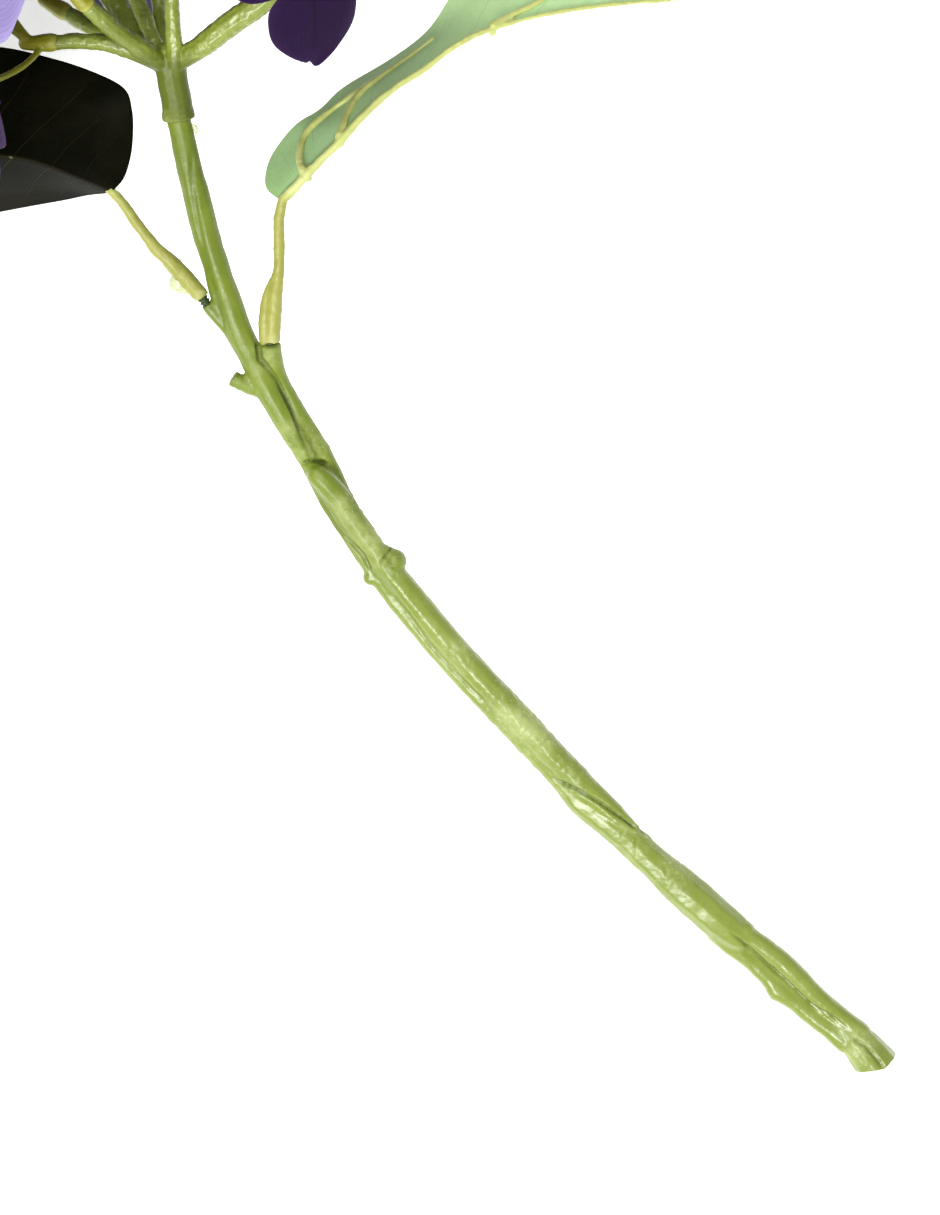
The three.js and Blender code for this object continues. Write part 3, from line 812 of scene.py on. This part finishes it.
# ---- The branching head ------------------------------------------------------------------------
@dataclass
class Head:
    """The frame of the flower head: its axis, its centre and its seats."""

    radius: float = 82.0
    rise: float = 36.0
    sag: float = 7.0
    lean: float = 10.5
    lift: float = 7.0
    layer_step: float = 3.2
    span: float = 57.0
    dimple_depth: float = 3.1
    dimple_radius: float = 8.0
    thickness: float = 1.0
    gap: float = 0.3
    axis: Vector = field(init=False)
    right: Vector = field(init=False)
    front: Vector = field(init=False)
    hub: Vector = field(init=False)
    centre: Vector = field(init=False)

    def __post_init__(self) -> None:
        """Works out the axes and the two centres."""
        lean, lift = math.radians(self.lean), math.radians(self.lift)
        self.axis = Vector((-math.sin(lean), math.cos(lean), math.tan(lift))).normalized()
        self.right = (Vector((1, 0, 0)) - self.axis * self.axis.x).normalized()
        self.front = self.right.cross(self.axis)
        self.hub = Vector((0, 0, self.radius - self.sag - self.rise * self.axis.z))
        self.centre = self.hub + self.axis * self.rise

    def direction(self, polar: float, turn: float) -> Vector:
        """A direction from the head's centre, by angle from its axis and round it."""
        return (self.axis * math.cos(polar) + self.right * math.sin(polar) * math.cos(turn)
                + self.front * math.sin(polar) * math.sin(turn))


@dataclass
class BranchHead:
    """The sleeve on the stalk's tip and the arms that leave it."""

    head: Head
    rise: Rise
    sleeve: Sequence[Point] = (
        (1.75, -14.4, 0, 4.1), (1.65, -13.6, 0, 4.25), (1.55, -12.4, 0, 4.15), (1.45, -11.6, 0, 3.98),
        (1.1, -9, 0, 3.92), (0.4, -5.7, 0, 3.92), (0, -2.8, 0, 3.95), (-0.2, -1.2, 0, 4.15),
        (-0.4, 1.4, 0, 4.1))
    arms: Sequence[Sequence[Point]] = (
        ((1.8, -0.2, 1, 2.3), (4.4, 1.7, 3, 2.8), (8.7, 4.3, 6, 3.05), (15, 8.9, 9, 3.2),
         (21.4, 13.2, 12, 3.2), (26, 16.6, 14, 2.9)),
        ((-2.0, -0.6, 1, 2.4), (-5.0, 1.2, 4, 2.6), (-9, 4.0, 7, 2.6), (-13.9, 7.4, 10, 2.5),
         (-18, 10.9, 13, 2.4), (-20.4, 13.1, 14.5, 2.3)),
        ((-2.4, -1.0, -1, 2.0), (-5.4, 0.8, 0, 2.3), (-10.5, 3, 0, 2.4), (-16, 4.6, 0, 2.3),
         (-23.1, 5.3, -1, 2.1), (-29.2, 5.1, -2, 2.0)),
        ((-3, 0.4, -4, 2.0), (-10, 4.6, -7, 2.3), (-18.1, 8.2, -11, 2.4), (-22.6, 10.8, -14, 2.3),
         (-26.7, 13.2, -16, 2.1)),
        ((-3, 0.7, -4, 2.2), (-7.0, 4, -8, 2.5), (-10.2, 8.8, -11, 2.9), (-13.6, 14.2, -14, 3.0),
         (-18.5, 20.5, -16, 2.6)),
        ((-2.4, 1.0, -1, 2.0), (-4.9, 6.0, -3, 2.1), (-6.9, 11.2, -5, 2.15), (-9.4, 17, -7, 2.1),
         (-13.0, 24, -8, 2.0)),
        ((-1.4, 0.6, -3, 1.9), (-2.6, 6, -6, 1.9), (-3.4, 13.2, -10, 1.9), (-4.2, 19, -12, 1.8),
         (-5.5, 24, -14, 1.8)),
        ((0.9, -1.2, 2, 2.3), (0.9, 1.6, 3.4, 2.35), (0.6, 7.0, 5.5, 2.05), (0.3, 13.2, 7.2, 1.95),
         (0.2, 20, 8.4, 1.9), (0.2, 29.5, 9.4, 1.9)))

    def build(self) -> bpy.types.Object:
        """Makes and dresses the branching head."""
        parts = [tube_mesh(self.rise.lay(self.sleeve), 20, 0.7, (False, True))]
        for arm in self.arms:
            run = [(x, y, self.head.hub.z + z, radius) for x, y, z, radius in arm]
            parts.append(tube_mesh(run, 16, 0.8, (True, False)))
        bm = fuse(parts, 0.32, 1)
        roughen(bm, ((4.0, 0.3), (1.5, 0.19), (0.8, 0.1)), lambda p: smooth(-1, 2, p.y) * 0.92 + 0.08)
        wear_and_highlight = bm.verts.layers.float.new("wear_and_highlight")
        pale = bm.verts.layers.float.new("pale")
        for vert in bm.verts:
            # Painted highlight: a pale line along the rim where the arms' bundle overhangs the sleeve;
            # the rest of this mark is the pale bottom ring and a little wear over the arms.
            lip_highlight = 1 - smooth(0.15, 0.6, abs(vert.co.y - 0.1 - 0.12 * vert.co.x))
            vert[wear_and_highlight] = 0.3 * smooth(-2, 2, vert.co.y) + 0.9 * smooth(-11.6, -12.6, vert.co.y) + lip_highlight
            vert[pale] = smooth(-1.5, 3.5, vert.co.y)
        obj = finish_mesh(bm, "branching_head")
        return place_piece(obj, ["branch_head"], Finish.BRANCH.material())


# ---- Florets -----------------------------------------------------------------------------------
class Hue(Enum):
    """The two colours of florets."""

    LILAC = "petal_lilac"
    AUBERGINE = "petal_aubergine"

    def finish(self) -> Finish:
        """The cloth of that colour."""
        return Finish.LILAC if self is Hue.LILAC else Finish.AUBERGINE


@dataclass
class Seat:
    """Where a floret sits: its direction, the turn of its petals and its layer."""

    direction: Vector
    spin: float
    hue: Hue
    layer: int = 0


@dataclass
class Florets:
    """All florets of the head, seated as the frame seats them."""

    head: Head
    on_ball: int = 72
    rim: float = 92.0
    nearest: float = 21.0
    parting_turn: float = 98.0
    parting_half: float = 55.0
    parting_rim: float = 80.0
    cloth: float = 0.38
    floor_clear: float = 0.3
    shown: Sequence[tuple[float, float, float, Hue]] = (
        (99, 59, 0, Hue.AUBERGINE), (92, 262, 0, Hue.LILAC), (96, 131, 5, Hue.LILAC),
        (117, 148, 85, Hue.AUBERGINE))
    profile: Sequence[Plan] = (
        (0.0, 0.16), (0.12, 0.36), (0.26, 0.78), (0.38, 0.95), (0.5, 1.0), (0.62, 0.98), (0.72, 0.87),
        (0.8, 0.7), (0.88, 0.52), (0.95, 0.33), (1.0, 0.12))
    slim: Sequence[int] = (3,)
    seats: list[Seat] = field(default_factory=list)

    def __post_init__(self) -> None:
        """Seats every floret."""
        self.seats = self.find_seats()
        self.layer()

    def find_seats(self) -> list[Seat]:
        """The shown florets first, then an even spread over the rest of the head."""
        seats = [Seat(self.head.direction(math.radians(polar), math.radians(turn)),
                      math.radians(spin), hue) for polar, turn, spin, hue in self.shown]
        golden = math.pi * (3 - math.sqrt(5))
        middle = math.radians(self.parting_turn)
        for i in range(self.on_ball):
            polar = math.acos(1 - 2 * (i + 0.5) / self.on_ball)
            turn = i * golden
            direction = self.head.direction(polar, turn)
            away = abs(math.atan2(math.sin(turn - middle), math.cos(turn - middle)))
            parted = away < math.radians(self.parting_half)
            rim = self.parting_rim if parted else self.rim
            clear = all(seat.direction.angle(direction) > math.radians(self.nearest) for seat in seats)
            if polar < math.radians(rim) and clear:
                hue = Hue.AUBERGINE if i % 5 == 2 else Hue.LILAC
                seats.append(Seat(direction, math.radians((i * 37) % 90), hue))
        return seats

    def layer(self) -> None:
        """Gives overlapping florets different layers."""
        reach = (self.head.span + self.head.gap) / self.head.radius
        for index, seat in enumerate(self.seats):
            taken = {other.layer for other in self.seats[:index]
                     if other.direction.angle(seat.direction) < reach}
            while seat.layer in taken:
                seat.layer += 1

    def point(self, seat: Seat, angle: float, distance: float, rise: float) -> Vector:
        """A place on a floret: an angle and distance round its middle, and a rise off its sheet."""
        head = self.head
        east = head.axis.cross(seat.direction).normalized()
        north = seat.direction.cross(east)
        dimple = head.dimple_depth * (1 - smooth(0.1, 1.1, distance / head.dimple_radius))
        depth = seat.layer * head.layer_step + dimple + head.thickness / 2
        bend = distance / head.radius
        out = (seat.direction * math.cos(bend) + east * math.sin(bend) * math.sin(angle)
               - north * math.sin(bend) * math.cos(angle))
        place = head.centre + out * (head.radius - depth)
        floor = max(depth - place.z, 0.0)
        flat = smooth(0.0, 5.0, floor)
        place.z = max(place.z, depth)
        place += out * rise * (1 - flat) + Vector((0, 0, abs(rise) * 0.5 * flat))
        place.z = max(place.z, self.floor_clear)
        return place

    def petal(self, seat: Seat, number: int, turn: float) -> bmesh.types.BMesh:
        """One petal of a floret, pressed with a fold, a cup and a wavy margin."""
        bm = bmesh.new()
        bm.loops.layers.uv.new("shape")
        bmesh.ops.create_grid(bm, x_segments=14, y_segments=16, size=1.0, calc_uvs=True)
        seed = number * 1.618 + turn
        length = self.head.span / 2 * (1 + 0.05 * math.sin(seed * 5.1))
        width = (9.4 if number in self.slim else 13.4) * (1 + 0.04 * math.sin(seed * 3.7))
        over = 0.35 if number % 2 else -0.35
        for vert in bm.verts:
            t, s = vert.co.x, (vert.co.y + 1) / 2
            along = 1.3 + (length - 1.3) * s
            half = min(spline(self.profile, share_of(self.profile, s)).y * width, along * 1.12)
            frill = 1 + 0.035 * math.sin(9 * s + seed * 4) * smooth(0.3, 0.9, s)
            across = t * half * frill
            along += 0.9 * math.sin(2.6 * t + seed * 3) * smooth(0.72, 1.0, s)
            edge = abs(t) ** 3
            rise = (0.75 * edge * math.sin(5.2 * s + seed * 2.3 + 1.6 * t) * smooth(0.25, 0.75, s)
                    + 0.5 * t * t * s - 0.55 * math.exp(-(t / 0.1) ** 2) * (1 - s) * smooth(0.0, 0.2, s)
                    + 0.55 * math.sin(6 * s + seed) * smooth(0.6, 1.0, s)
                    + 0.25 * noise.noise(Vector((t * 2.1, s * 3.1, seed))) + over)
            distance = math.hypot(along, across)
            angle = turn + math.atan2(across, along)
            vert.co = self.point(seat, angle, distance, rise)
        return bm

    def build_one(self, index: int, seat: Seat) -> bpy.types.Object:
        """Makes and dresses one floret."""
        petals = [self.petal(seat, index * 4 + quarter, seat.spin + quarter * math.pi / 2)
                  for quarter in range(4)]
        bm = gather(petals)
        bmesh.ops.recalc_face_normals(bm, faces=bm.faces)
        obj = finish_mesh(bm, f"floret_{index + 1:02d}_petals")
        shell = obj.modifiers.new("Solidify", "SOLIDIFY")
        shell.thickness = self.cloth * MM
        shell.offset = 0.0
        fine = obj.modifiers.new("Subdivision", "SUBSURF")
        fine.levels = 1
        fine.render_levels = 1
        settle(obj)
        return place_piece(obj, [f"floret_{index + 1:02d}"],
                           seat.hue.finish().material())

    def build(self) -> None:
        """Makes every floret."""
        for index, seat in enumerate(self.seats):
            self.build_one(index, seat)


def share_of(profile: Sequence[Plan], x: float) -> float:
    """Where along a list of (x, y) points a value of x lies, as a share of the list."""
    for i in range(len(profile) - 1):
        low, high = profile[i][0], profile[i + 1][0]
        if x <= high:
            return (i + (x - low) / (high - low)) / (len(profile) - 1)
    return 1.0


@dataclass
class PedicelClusters:
    """The clusters of floret stalks that push on the arms."""

    head: Head
    arms: BranchHead
    florets: Florets
    aims: Sequence[Plan] = (
        (62, 21), (49, 146), (62, 185), (62, 214), (48, 229), (30, 230), (37, 265), (15, 45))
    routes: dict[int, tuple[int, Sequence[Spot]]] = field(default_factory=lambda: {
        3: (2, ((-34.2, 2.0, 70), (-38.0, -1.8, 75), (-44.6, -5.6, 83)))})
    radius: float = 0.95
    pip: float = 1.6
    pip_rise: float = 1.45

    def arm_of(self, seat: Seat) -> int:
        """The arm that carries a floret."""
        route = self.routes.get(self.florets.seats.index(seat))
        if route:
            return route[0]
        place = (self.head.centre + seat.direction * self.head.radius - self.head.hub).normalized()
        angles = [self.head.direction(math.radians(polar), math.radians(turn)).angle(place)
                  for polar, turn in self.aims]
        return angles.index(min(angles))

    def pedicel(self, root: Vector, out: Vector, seat: Seat) -> list[bmesh.types.BMesh]:
        """One floret stalk with its pip."""
        rim = self.florets.point(seat, 0.0, 0.0, self.head.thickness / 2)
        bend, under = rim - seat.direction * 15, rim - seat.direction * 7
        top = rim + seat.direction * (self.pip_rise - 0.6)
        ways = [root.lerp(bend, 0.4) + out * 3, bend]
        route = self.routes.get(self.florets.seats.index(seat))
        if route:
            ways = [Vector(way) for way in route[1]]
        start = root - out * (4 if route else 1.5)
        run = [(*start, self.radius * 1.25), *((*way, self.radius) for way in ways),
               (*under, self.radius * 1.05), (*top, self.radius * 0.9)]
        return [tube_mesh(run, 8, 1.6, (True, False)),
                ball_mesh(rim + seat.direction * self.pip_rise, self.pip, seat.direction * 0.85)]

    def build(self) -> None:
        """Makes and dresses each cluster."""
        for index, arm in enumerate(self.arms.arms):
            tip = Vector(arm[-1][:3]) + Vector((0, 0, self.head.hub.z))
            before = Vector(arm[-2][:3]) + Vector((0, 0, self.head.hub.z))
            out = (tip - before).normalized()
            root = tip + out * 8
            base = [(*(tip - out * 0.6), 1.9), (*(tip + out * 1.2), 2.45), (*(tip + out * 4), 2.2),
                    (*root, 1.8)]
            parts = [tube_mesh(base, 14, 0.8, (False, True))]
            for seat in self.florets.seats:
                if self.arm_of(seat) == index:
                    parts += self.pedicel(root, out, seat)
            bm = fuse(parts, 0.4, 1)
            roughen(bm, ((3.0, 0.12), (1.0, 0.05)))
            wear_and_highlight = bm.verts.layers.float.new("wear_and_highlight")
            for vert in bm.verts:
                way = vert.co - tip
                vert[wear_and_highlight] = smooth(1.7, 0.7, way.dot(out)) * smooth(6, 4, way.length)
            obj = finish_mesh(bm, f"floret_stalks_{index + 1}")
            place_piece(obj, [f"pedicel_cluster_{index + 1}"], Finish.PEDICEL.material())


# ---- Leaves ------------------------------------------------------------------------------------
@dataclass
class Leaf:
    """A formed leaf: a blade over a plan outline, and the moulding of stalk, midrib and ribs."""

    side: str
    base: Vector
    midrib: Sequence[Plan]
    upper_edge: Sequence[Plan]
    lower_edge: Sequence[Plan]
    droop: Sequence[Plan]
    upper_drop: Sequence[float]
    lower_drop: Sequence[float]
    stalk: Sequence[Point]
    lobe: Sequence[Point]
    ribs: Sequence[Sequence[Plan]]
    finish: Finish
    slot: str
    underside_up: bool
    spine_side: float
    spine_radius: float = 1.15

    def surface(self, s: float, t: float) -> Vector:
        """A place on the blade: s along the midrib, and t from one edge, -1, to the other, 1."""
        spine = spline(self.midrib, s)
        edge = self.upper_edge if t >= 0 else self.lower_edge
        drops = self.upper_drop if t >= 0 else self.lower_drop
        plan = spine.lerp(spline(edge, s), abs(t))
        drop = spline([(d, 0) for d in drops], s).x
        side = 1 if t >= 0 else 2
        crown = 0.05 * drop * math.sin(min(abs(t) * 1.4, 1.0) * math.pi)
        wave = 0.5 * abs(t) ** 3 * math.sin(17 * s + side) + 0.45 * abs(t) * noise.noise(
            Vector((s * 7, t * 3, side * 3.3)))
        height = spline(self.droop, share_of(self.droop, s)).y - drop * abs(t) ** 0.92 + crown
        return self.base + Vector((plan.x, plan.y, height + wave))

    def blade(self) -> bmesh.types.BMesh:
        """The blade's single sheet."""
        bm = bmesh.new()
        bm.loops.layers.uv.new("shape")
        bmesh.ops.create_grid(bm, x_segments=48, y_segments=72, size=1.0, calc_uvs=True)
        for vert in bm.verts:
            t, s = vert.co.x, (vert.co.y + 1) / 2
            vert.co = self.surface(s, t)
        bmesh.ops.recalc_face_normals(bm, faces=bm.faces)
        upward = sum((face.normal.z * face.calc_area() for face in bm.faces))
        if upward < 0:
            bmesh.ops.reverse_faces(bm, faces=bm.faces)
        return bm

    def build_blade(self) -> BVHTree:
        """Makes and dresses the blade.

        Returns:
            A search tree of the single sheet, in design millimetres, for laying ribs on it.
        """
        bm = self.blade()
        tree = BVHTree.FromBMesh(bm)
        obj = finish_mesh(bm, f"{self.side}_leaf")
        shell = obj.modifiers.new("Solidify", "SOLIDIFY")
        shell.thickness = 0.5 * MM
        shell.offset = 0.0
        fine = obj.modifiers.new("Subdivision", "SUBSURF")
        fine.levels = 1
        fine.render_levels = 1
        settle(obj)
        self.paint(obj, tree)
        place_piece(obj, [f"{self.side}_leaf_blade"], self.finish.material())
        return tree

    def paint(self, obj: bpy.types.Object, tree: BVHTree) -> None:
        """Marks the leaf's underside."""
        mesh = obj.data
        values = []
        for vert in mesh.vertices:
            place, normal, _, _ = tree.find_nearest(vert.co / MM - SHIFT)
            above = (vert.co / MM - SHIFT - place).dot(normal) > 0
            values.append(1.0 if above == self.underside_up else 0.0)
        back = mesh.attributes.new("back", "FLOAT", "POINT")
        back.data.foreach_set("value", values)

    def drop(self, tree: BVHTree, plan: Sequence[float], lift: float) -> Vector:
        """A place on the blade under a point of its plan, raised by lift."""
        start = Vector((self.base.x + plan[0], self.base.y + plan[1], 300.0))
        place, normal, _, _ = tree.ray_cast(start, Vector((0, 0, -1)))
        if place is None:
            place, normal, _, _ = tree.find_nearest(start - Vector((0, 0, 300 - self.base.z)))
        return place + normal * lift

    def build_moulding(self, tree: BVHTree) -> None:
        """Makes and dresses the leaf's stalk with its midrib and ribs."""
        sign = 1 if self.underside_up else -1
        parts = [tube_mesh(self.stalk, 16, 0.8, (False, True))]
        spine = []
        for i in range(29):
            s = 0.004 + 0.95 * i / 28
            radius = self.spine_radius * (1 - 0.6 * s)
            spine.append((*self.surface(s, self.spine_side), radius))
        offset = 0.5 if self.underside_up else 1.75
        spine = [(x, y, z + sign * radius * offset, radius) for x, y, z, radius in spine]
        parts.append(tube_mesh([self.stalk[-2], self.stalk[-1], *spine[1:]], 12, 1.0, (True, True)))
        if self.lobe:
            parts.append(tube_mesh(self.lobe, 12, 0.7, (True, True)))
        for rib in self.ribs:
            run = []
            for i in range(17):
                plan = spline(rib, i / 16)
                radius = 1.3 * (1 - 0.5 * i / 16)
                run.append((*self.drop(tree, plan, sign * radius * 0.6), radius))
            parts.append(tube_mesh(run, 10, 0.9, (True, True)))
        bm = fuse(parts, 0.34, 2)
        roughen(bm, ((4.0, 0.22), (1.4, 0.12)))
        wear_and_highlight = bm.verts.layers.float.new("wear_and_highlight")
        pale = bm.verts.layers.float.new("pale")
        foot = Vector(self.stalk[0][:2])
        for vert in bm.verts:
            up = vert.co.y - self.base.y
            vert[pale] = smooth(-1.5, 1.5, up)
            vert[wear_and_highlight] = max(smooth(0, 3, up) * smooth(14, 8, up),
                             smooth(2.6, 1.0, (vert.co.xy - foot).length))
        obj = finish_mesh(bm, f"{self.side}_leaf_moulding")
        place_piece(obj, [f"{self.side}_petiole"], Finish.PETIOLE.material())

    def build(self) -> None:
        """Makes the whole leaf."""
        self.build_moulding(self.build_blade())


def left_leaf(rise: Rise) -> Leaf:
    """The leaf on the left, its dark face up and its lower half folded down."""
    base = Vector((-15.2, -32.4, rise.at(-32.4) + 3))
    stalk = ((7.4, -59.0, 1, 1.9), (6.1, -57.4, 1, 2.2), (3.6, -54.6, 1, 2.35), (1.3, -52.1, 1.5, 2.25),
             (-0.9, -49.6, 2, 2.0), (-3.8, -47.1, 2, 1.75), (-5.8, -44.6, 2, 1.57),
             (-7.7, -42.1, 2, 1.5), (-9.6, -39.6, 2.4, 1.42), (-11.3, -37.1, 2.6, 1.35),
             (-13.4, -34.3, 2.6, 1.3), (-15.4, -32.4, 2.4, 1.2))
    return Leaf(
        side="left", base=base, finish=Finish.UPPER_LEAF, slot="leaf_upper", underside_up=False,
        midrib=((0, 0), (-5.5, 2.2), (-11, 4.2), (-17.5, 6.6), (-25, 8.4), (-35, 9), (-46, 8.8),
                (-58, 8), (-70, 6), (-81, 3), (-91, -0.6), (-101, -5), (-109, -10)),
        upper_edge=((0.6, 0.4), (3.2, 3.6), (4.8, 9.6), (5.2, 15.8), (4.9, 21), (3.2, 26.2),
                    (-3.6, 30.2), (-15, 34.2), (-31, 37.6), (-50, 36.6), (-72, 27), (-92, 10),
                    (-109.5, -9.8)),
        lower_edge=((0, -0.4), (-2.6, -0.4), (-6.8, -0.7), (-12, -1.6), (-18.5, -2.6), (-26, -3.8),
                    (-36, -5.6), (-47, -8.4), (-59, -11.2), (-72, -13.6), (-86, -14.8), (-99, -14.4),
                    (-109.5, -10.4)),
        droop=((0, 0), (0.25, 1.2), (0.45, 0), (0.7, -8), (1.0, -27)),
        upper_drop=(0, 2, 5, 8, 9, 9, 9, 9, 8, 6, 4, 2, 0),
        lower_drop=(0, 4, 9, 14, 18, 21, 23, 23, 21, 17, 12, 6, 0),
        lobe=(), spine_side=0.16,
        stalk=rise.lay(stalk), ribs=())


def right_leaf(rise: Rise) -> Leaf:
    """The leaf on the right, folded along its midrib with its pale back up."""
    base = Vector((28.0, -34.0, rise.at(-34) + 3))
    stalk = ((25.2, -70.2, 2.2, 2.05), (25.4, -66, 2.5, 2.1), (25.7, -61, 2.8, 2.1),
             (26.1, -57.5, 3, 1.95), (26.5, -54.5, 3, 1.7), (26.9, -52.0, 3, 1.58), (27, -47.2, 3, 1.52),
             (27, -42.2, 3, 1.45), (27.1, -39.1, 3, 1.42), (27.6, -36.6, 3.2, 1.4),
             (28.2, -34.4, 3.4, 1.3))
    lobe = ((25.0, -54.8, 2.9, 0.7), (23.9, -58, 2.7, 1.15), (23.2, -62, 2.4, 1.4),
            (23.0, -66, 2.2, 1.45), (23.1, -69.9, 2.0, 1.4))
    return Leaf(
        side="right", base=base, finish=Finish.UNDER_LEAF, slot="leaf_under", underside_up=True,
        midrib=((0.2, -0.4), (3.0, 2.4), (6.6, 6.2), (10.6, 10.2), (15.5, 15.0), (20.6, 20.6),
                (27.0, 26.4), (36.7, 32.9), (46, 39.6), (58, 44.2), (74, 47.8), (90, 49.8), (105, 50.8)),
        upper_edge=((-0.3, -0.8), (-4.0, 2.0), (-4.5, 6.2), (-2.6, 11.8), (2.9, 18.8), (9.2, 22.9),
                    (15.2, 28.6), (27.7, 36.2), (37.0, 43.6), (46, 56), (62, 66), (86, 63), (105, 51.2)),
        lower_edge=((0.3, -0.3), (2.4, 2.6), (5.4, 6.8), (9.2, 11.2), (13.9, 16.4), (18.9, 22.0),
                    (25.3, 28.0), (35.2, 34.6), (45, 41.8), (57.4, 46.8), (74, 50.8), (90, 52.4),
                    (105, 51.0)),
        droop=((0, 0), (0.25, 3), (0.5, 4), (0.75, 0), (1.0, -10)),
        upper_drop=(0.2, 4, 8, 12, 14.5, 16.5, 17.5, 17.5, 16, 13.5, 10, 5, 0),
        lower_drop=(0.2, 7, 13, 18, 22, 25, 27, 28, 26, 22, 16, 9, 0),
        lobe=rise.lay(lobe), spine_side=0.0, spine_radius=1.35, stalk=rise.lay(stalk),
        ribs=(((6.3, 4.9), (4.7, 9.2), (5.7, 15.3), (9.2, 19.3), (15.3, 24.1), (21.6, 28.4),
               (24.6, 30.4)),
              ((14.5, 13.7), (15.7, 17.3), (17.3, 22.1), (20.1, 26.4), (24.9, 30.4), (30.4, 34.4),
               (38.2, 40.3)),
              ((52.8, 42.4), (55.9, 44.5), (59.9, 46.8), (65, 49.6), (72, 55))))


# ---- Small pieces ------------------------------------------------------------------------------
@dataclass
class Trim:
    """The pegs of the leaf stalks, and the maker's glue at two joints."""

    rise: Rise
    pegs: Sequence[tuple[str, Plan, Plan]] = (
        ("left", (8.6, -60.8), (5.4, -56.2)), ("right", (24.5, -70.6), (24.9, -65.5)))

    def build_peg(self, side: str, start: Plan, end: Plan, lift: float) -> None:
        """Makes and dresses one ribbed peg."""
        a = Vector((*start, self.rise.at(start[1]) + lift))
        b = Vector((*end, self.rise.at(end[1]) + lift + 0.6))
        count = 24
        run = []
        for i in range(count + 1):
            place = a.lerp(b, i / count)
            run.append((*place, 1.25 + 0.22 * math.cos(i * math.pi / 2)))
        bm = tube_mesh(run, 16, 0.15, (False, False))
        obj = finish_mesh(bm, f"{side}_peg")
        place_piece(obj, [f"{side}_leaf_peg"], Finish.PEG.material())

    def build_glue(self) -> None:
        """Makes and dresses the glue lump under the left socket and the flake at the sleeve."""
        parts = [ball_mesh(Vector((1.4, -55.5, self.rise.at(-55.5) + 0.4)), 2.6, Vector((0, 0, 0.75))),
                 ball_mesh(Vector((3.2, -56.9, self.rise.at(-56.9) + 0.5)), 1.5)]
        bm = fuse(parts, 0.22, 4)
        roughen(bm, ((2.6, 0.14),))
        place_piece(finish_mesh(bm, "glue_lump"), [], Finish.GLUE.material())
        flake = self.rise.lay(((5.3, -15.6, 0.8, 0.35), (6.0, -16.6, 0.6, 0.75), (6.2, -17.8, 0.2, 0.3)))
        bm = fuse([tube_mesh(flake, 10, 0.3)], 0.14, 2)
        roughen(bm, ((0.9, 0.18),))
        place_piece(finish_mesh(bm, "glue_flake"), [], Finish.GLUE.material())

    def build(self) -> None:
        """Makes all small pieces."""
        for (side, start, end), lift in zip(self.pegs, (0.2, 2.3)):
            self.build_peg(side, start, end, lift)
        self.build_glue()
        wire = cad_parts["stem_wire"]
        wire.data.materials.clear()
        wire.data.materials.append(Finish.STEEL.material())
        log.info("stem_wire: kept from the frame, drawn steel")


# ---- The studio --------------------------------------------------------------------------------
@dataclass
class Studio:
    """The pale glowing floor, the soft lamps and the camera that looks straight down."""

    camera_height: float = 2.4
    view_length: float = 0.3159
    aim: Plan = (75.33, -137.66)
    sensor_width: float = 36.0
    floor_size: float = 4.0
    floor_depth: float = 0.0003
    floor_glow: float = 0.5
    surround: float = 0.56
    lamps: Sequence[tuple[str, Spot, float, float]] = (
        ("key", (-0.55, -1.25, 1.75), 0.8, 62.0), ("overhead", (-0.25, 0.45, 2.6), 1.1, 40.0))

    def build_floor(self) -> None:
        """Makes the floor."""
        bm = bmesh.new()
        bmesh.ops.create_grid(bm, x_segments=8, y_segments=8, size=self.floor_size)
        mesh = bpy.data.meshes.new("floor")
        bm.to_mesh(mesh)
        bm.free()
        floor = link("floor", mesh)
        floor.data.transform(Matrix.Translation((0, 0, -self.floor_depth)))
        sh = Shader("pale_floor")
        cloud = sh.noise(3.0, 2.0, 0.5)
        sh.set(Base_Color=sh.mix(cloud, (0.93, 0.93, 0.93), (0.95, 0.95, 0.95)), Roughness=0.9,
               Emission_Color=(1, 1, 1), Emission_Strength=self.floor_glow)
        floor.data.materials.append(sh.material)

    def build_light(self, name: str, place: Spot, size: float, power: float) -> None:
        """Makes one soft lamp that looks at the spray."""
        lamp = bpy.data.lights.new(name, "AREA")
        lamp.shape = "DISK"
        lamp.size = size
        lamp.energy = power
        obj = bpy.data.objects.new(name, lamp)
        obj.location = place
        look = Vector((0, 0, 0.05)) - Vector(place)
        obj.rotation_euler = look.to_track_quat("-Z", "Y").to_euler()
        bpy.context.scene.collection.objects.link(obj)

    def build_camera(self) -> None:
        """Makes the camera that looks down on the spray."""
        data = bpy.data.cameras.new("camera")
        data.sensor_width = self.sensor_width
        data.lens = data.sensor_width * self.camera_height / self.view_length
        data.clip_end = 50.0
        camera = bpy.data.objects.new("camera", data)
        place = (Vector((*self.aim, 0)) + SHIFT) * MM
        camera.location = (place.x, place.y, self.camera_height)
        bpy.context.scene.collection.objects.link(camera)
        bpy.context.scene.camera = camera

    def build(self) -> None:
        """Makes the whole studio."""
        self.build_camera()
        self.build_floor()
        world = bpy.data.worlds.new("soft_white")
        bpy.context.scene.world = world
        world.use_nodes = True
        background = world.node_tree.nodes["Background"].inputs
        background["Color"].default_value = (1, 1, 1, 1)
        background["Strength"].default_value = self.surround
        for lamp in self.lamps:
            self.build_light(*lamp)
        bpy.context.scene.view_settings.view_transform = "Standard"


def main() -> None:
    """Builds the spray, piece by piece, and the studio round it."""
    logging.basicConfig(level=logging.INFO, format="%(name)s: %(message)s")
    studio = Studio()
    studio.build()
    head = Head()
    rise = Rise(head.hub.z)
    branch = BranchHead(head, rise)
    florets = Florets(head)
    log.info("shift of the design: %s", tuple(SHIFT))
    Stalk(rise).build()
    branch.build()
    PedicelClusters(head, branch, florets).build()
    florets.build()
    left_leaf(rise).build()
    right_leaf(rise).build()
    Trim(rise).build()
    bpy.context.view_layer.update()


if __name__ == "__main__":
    main()
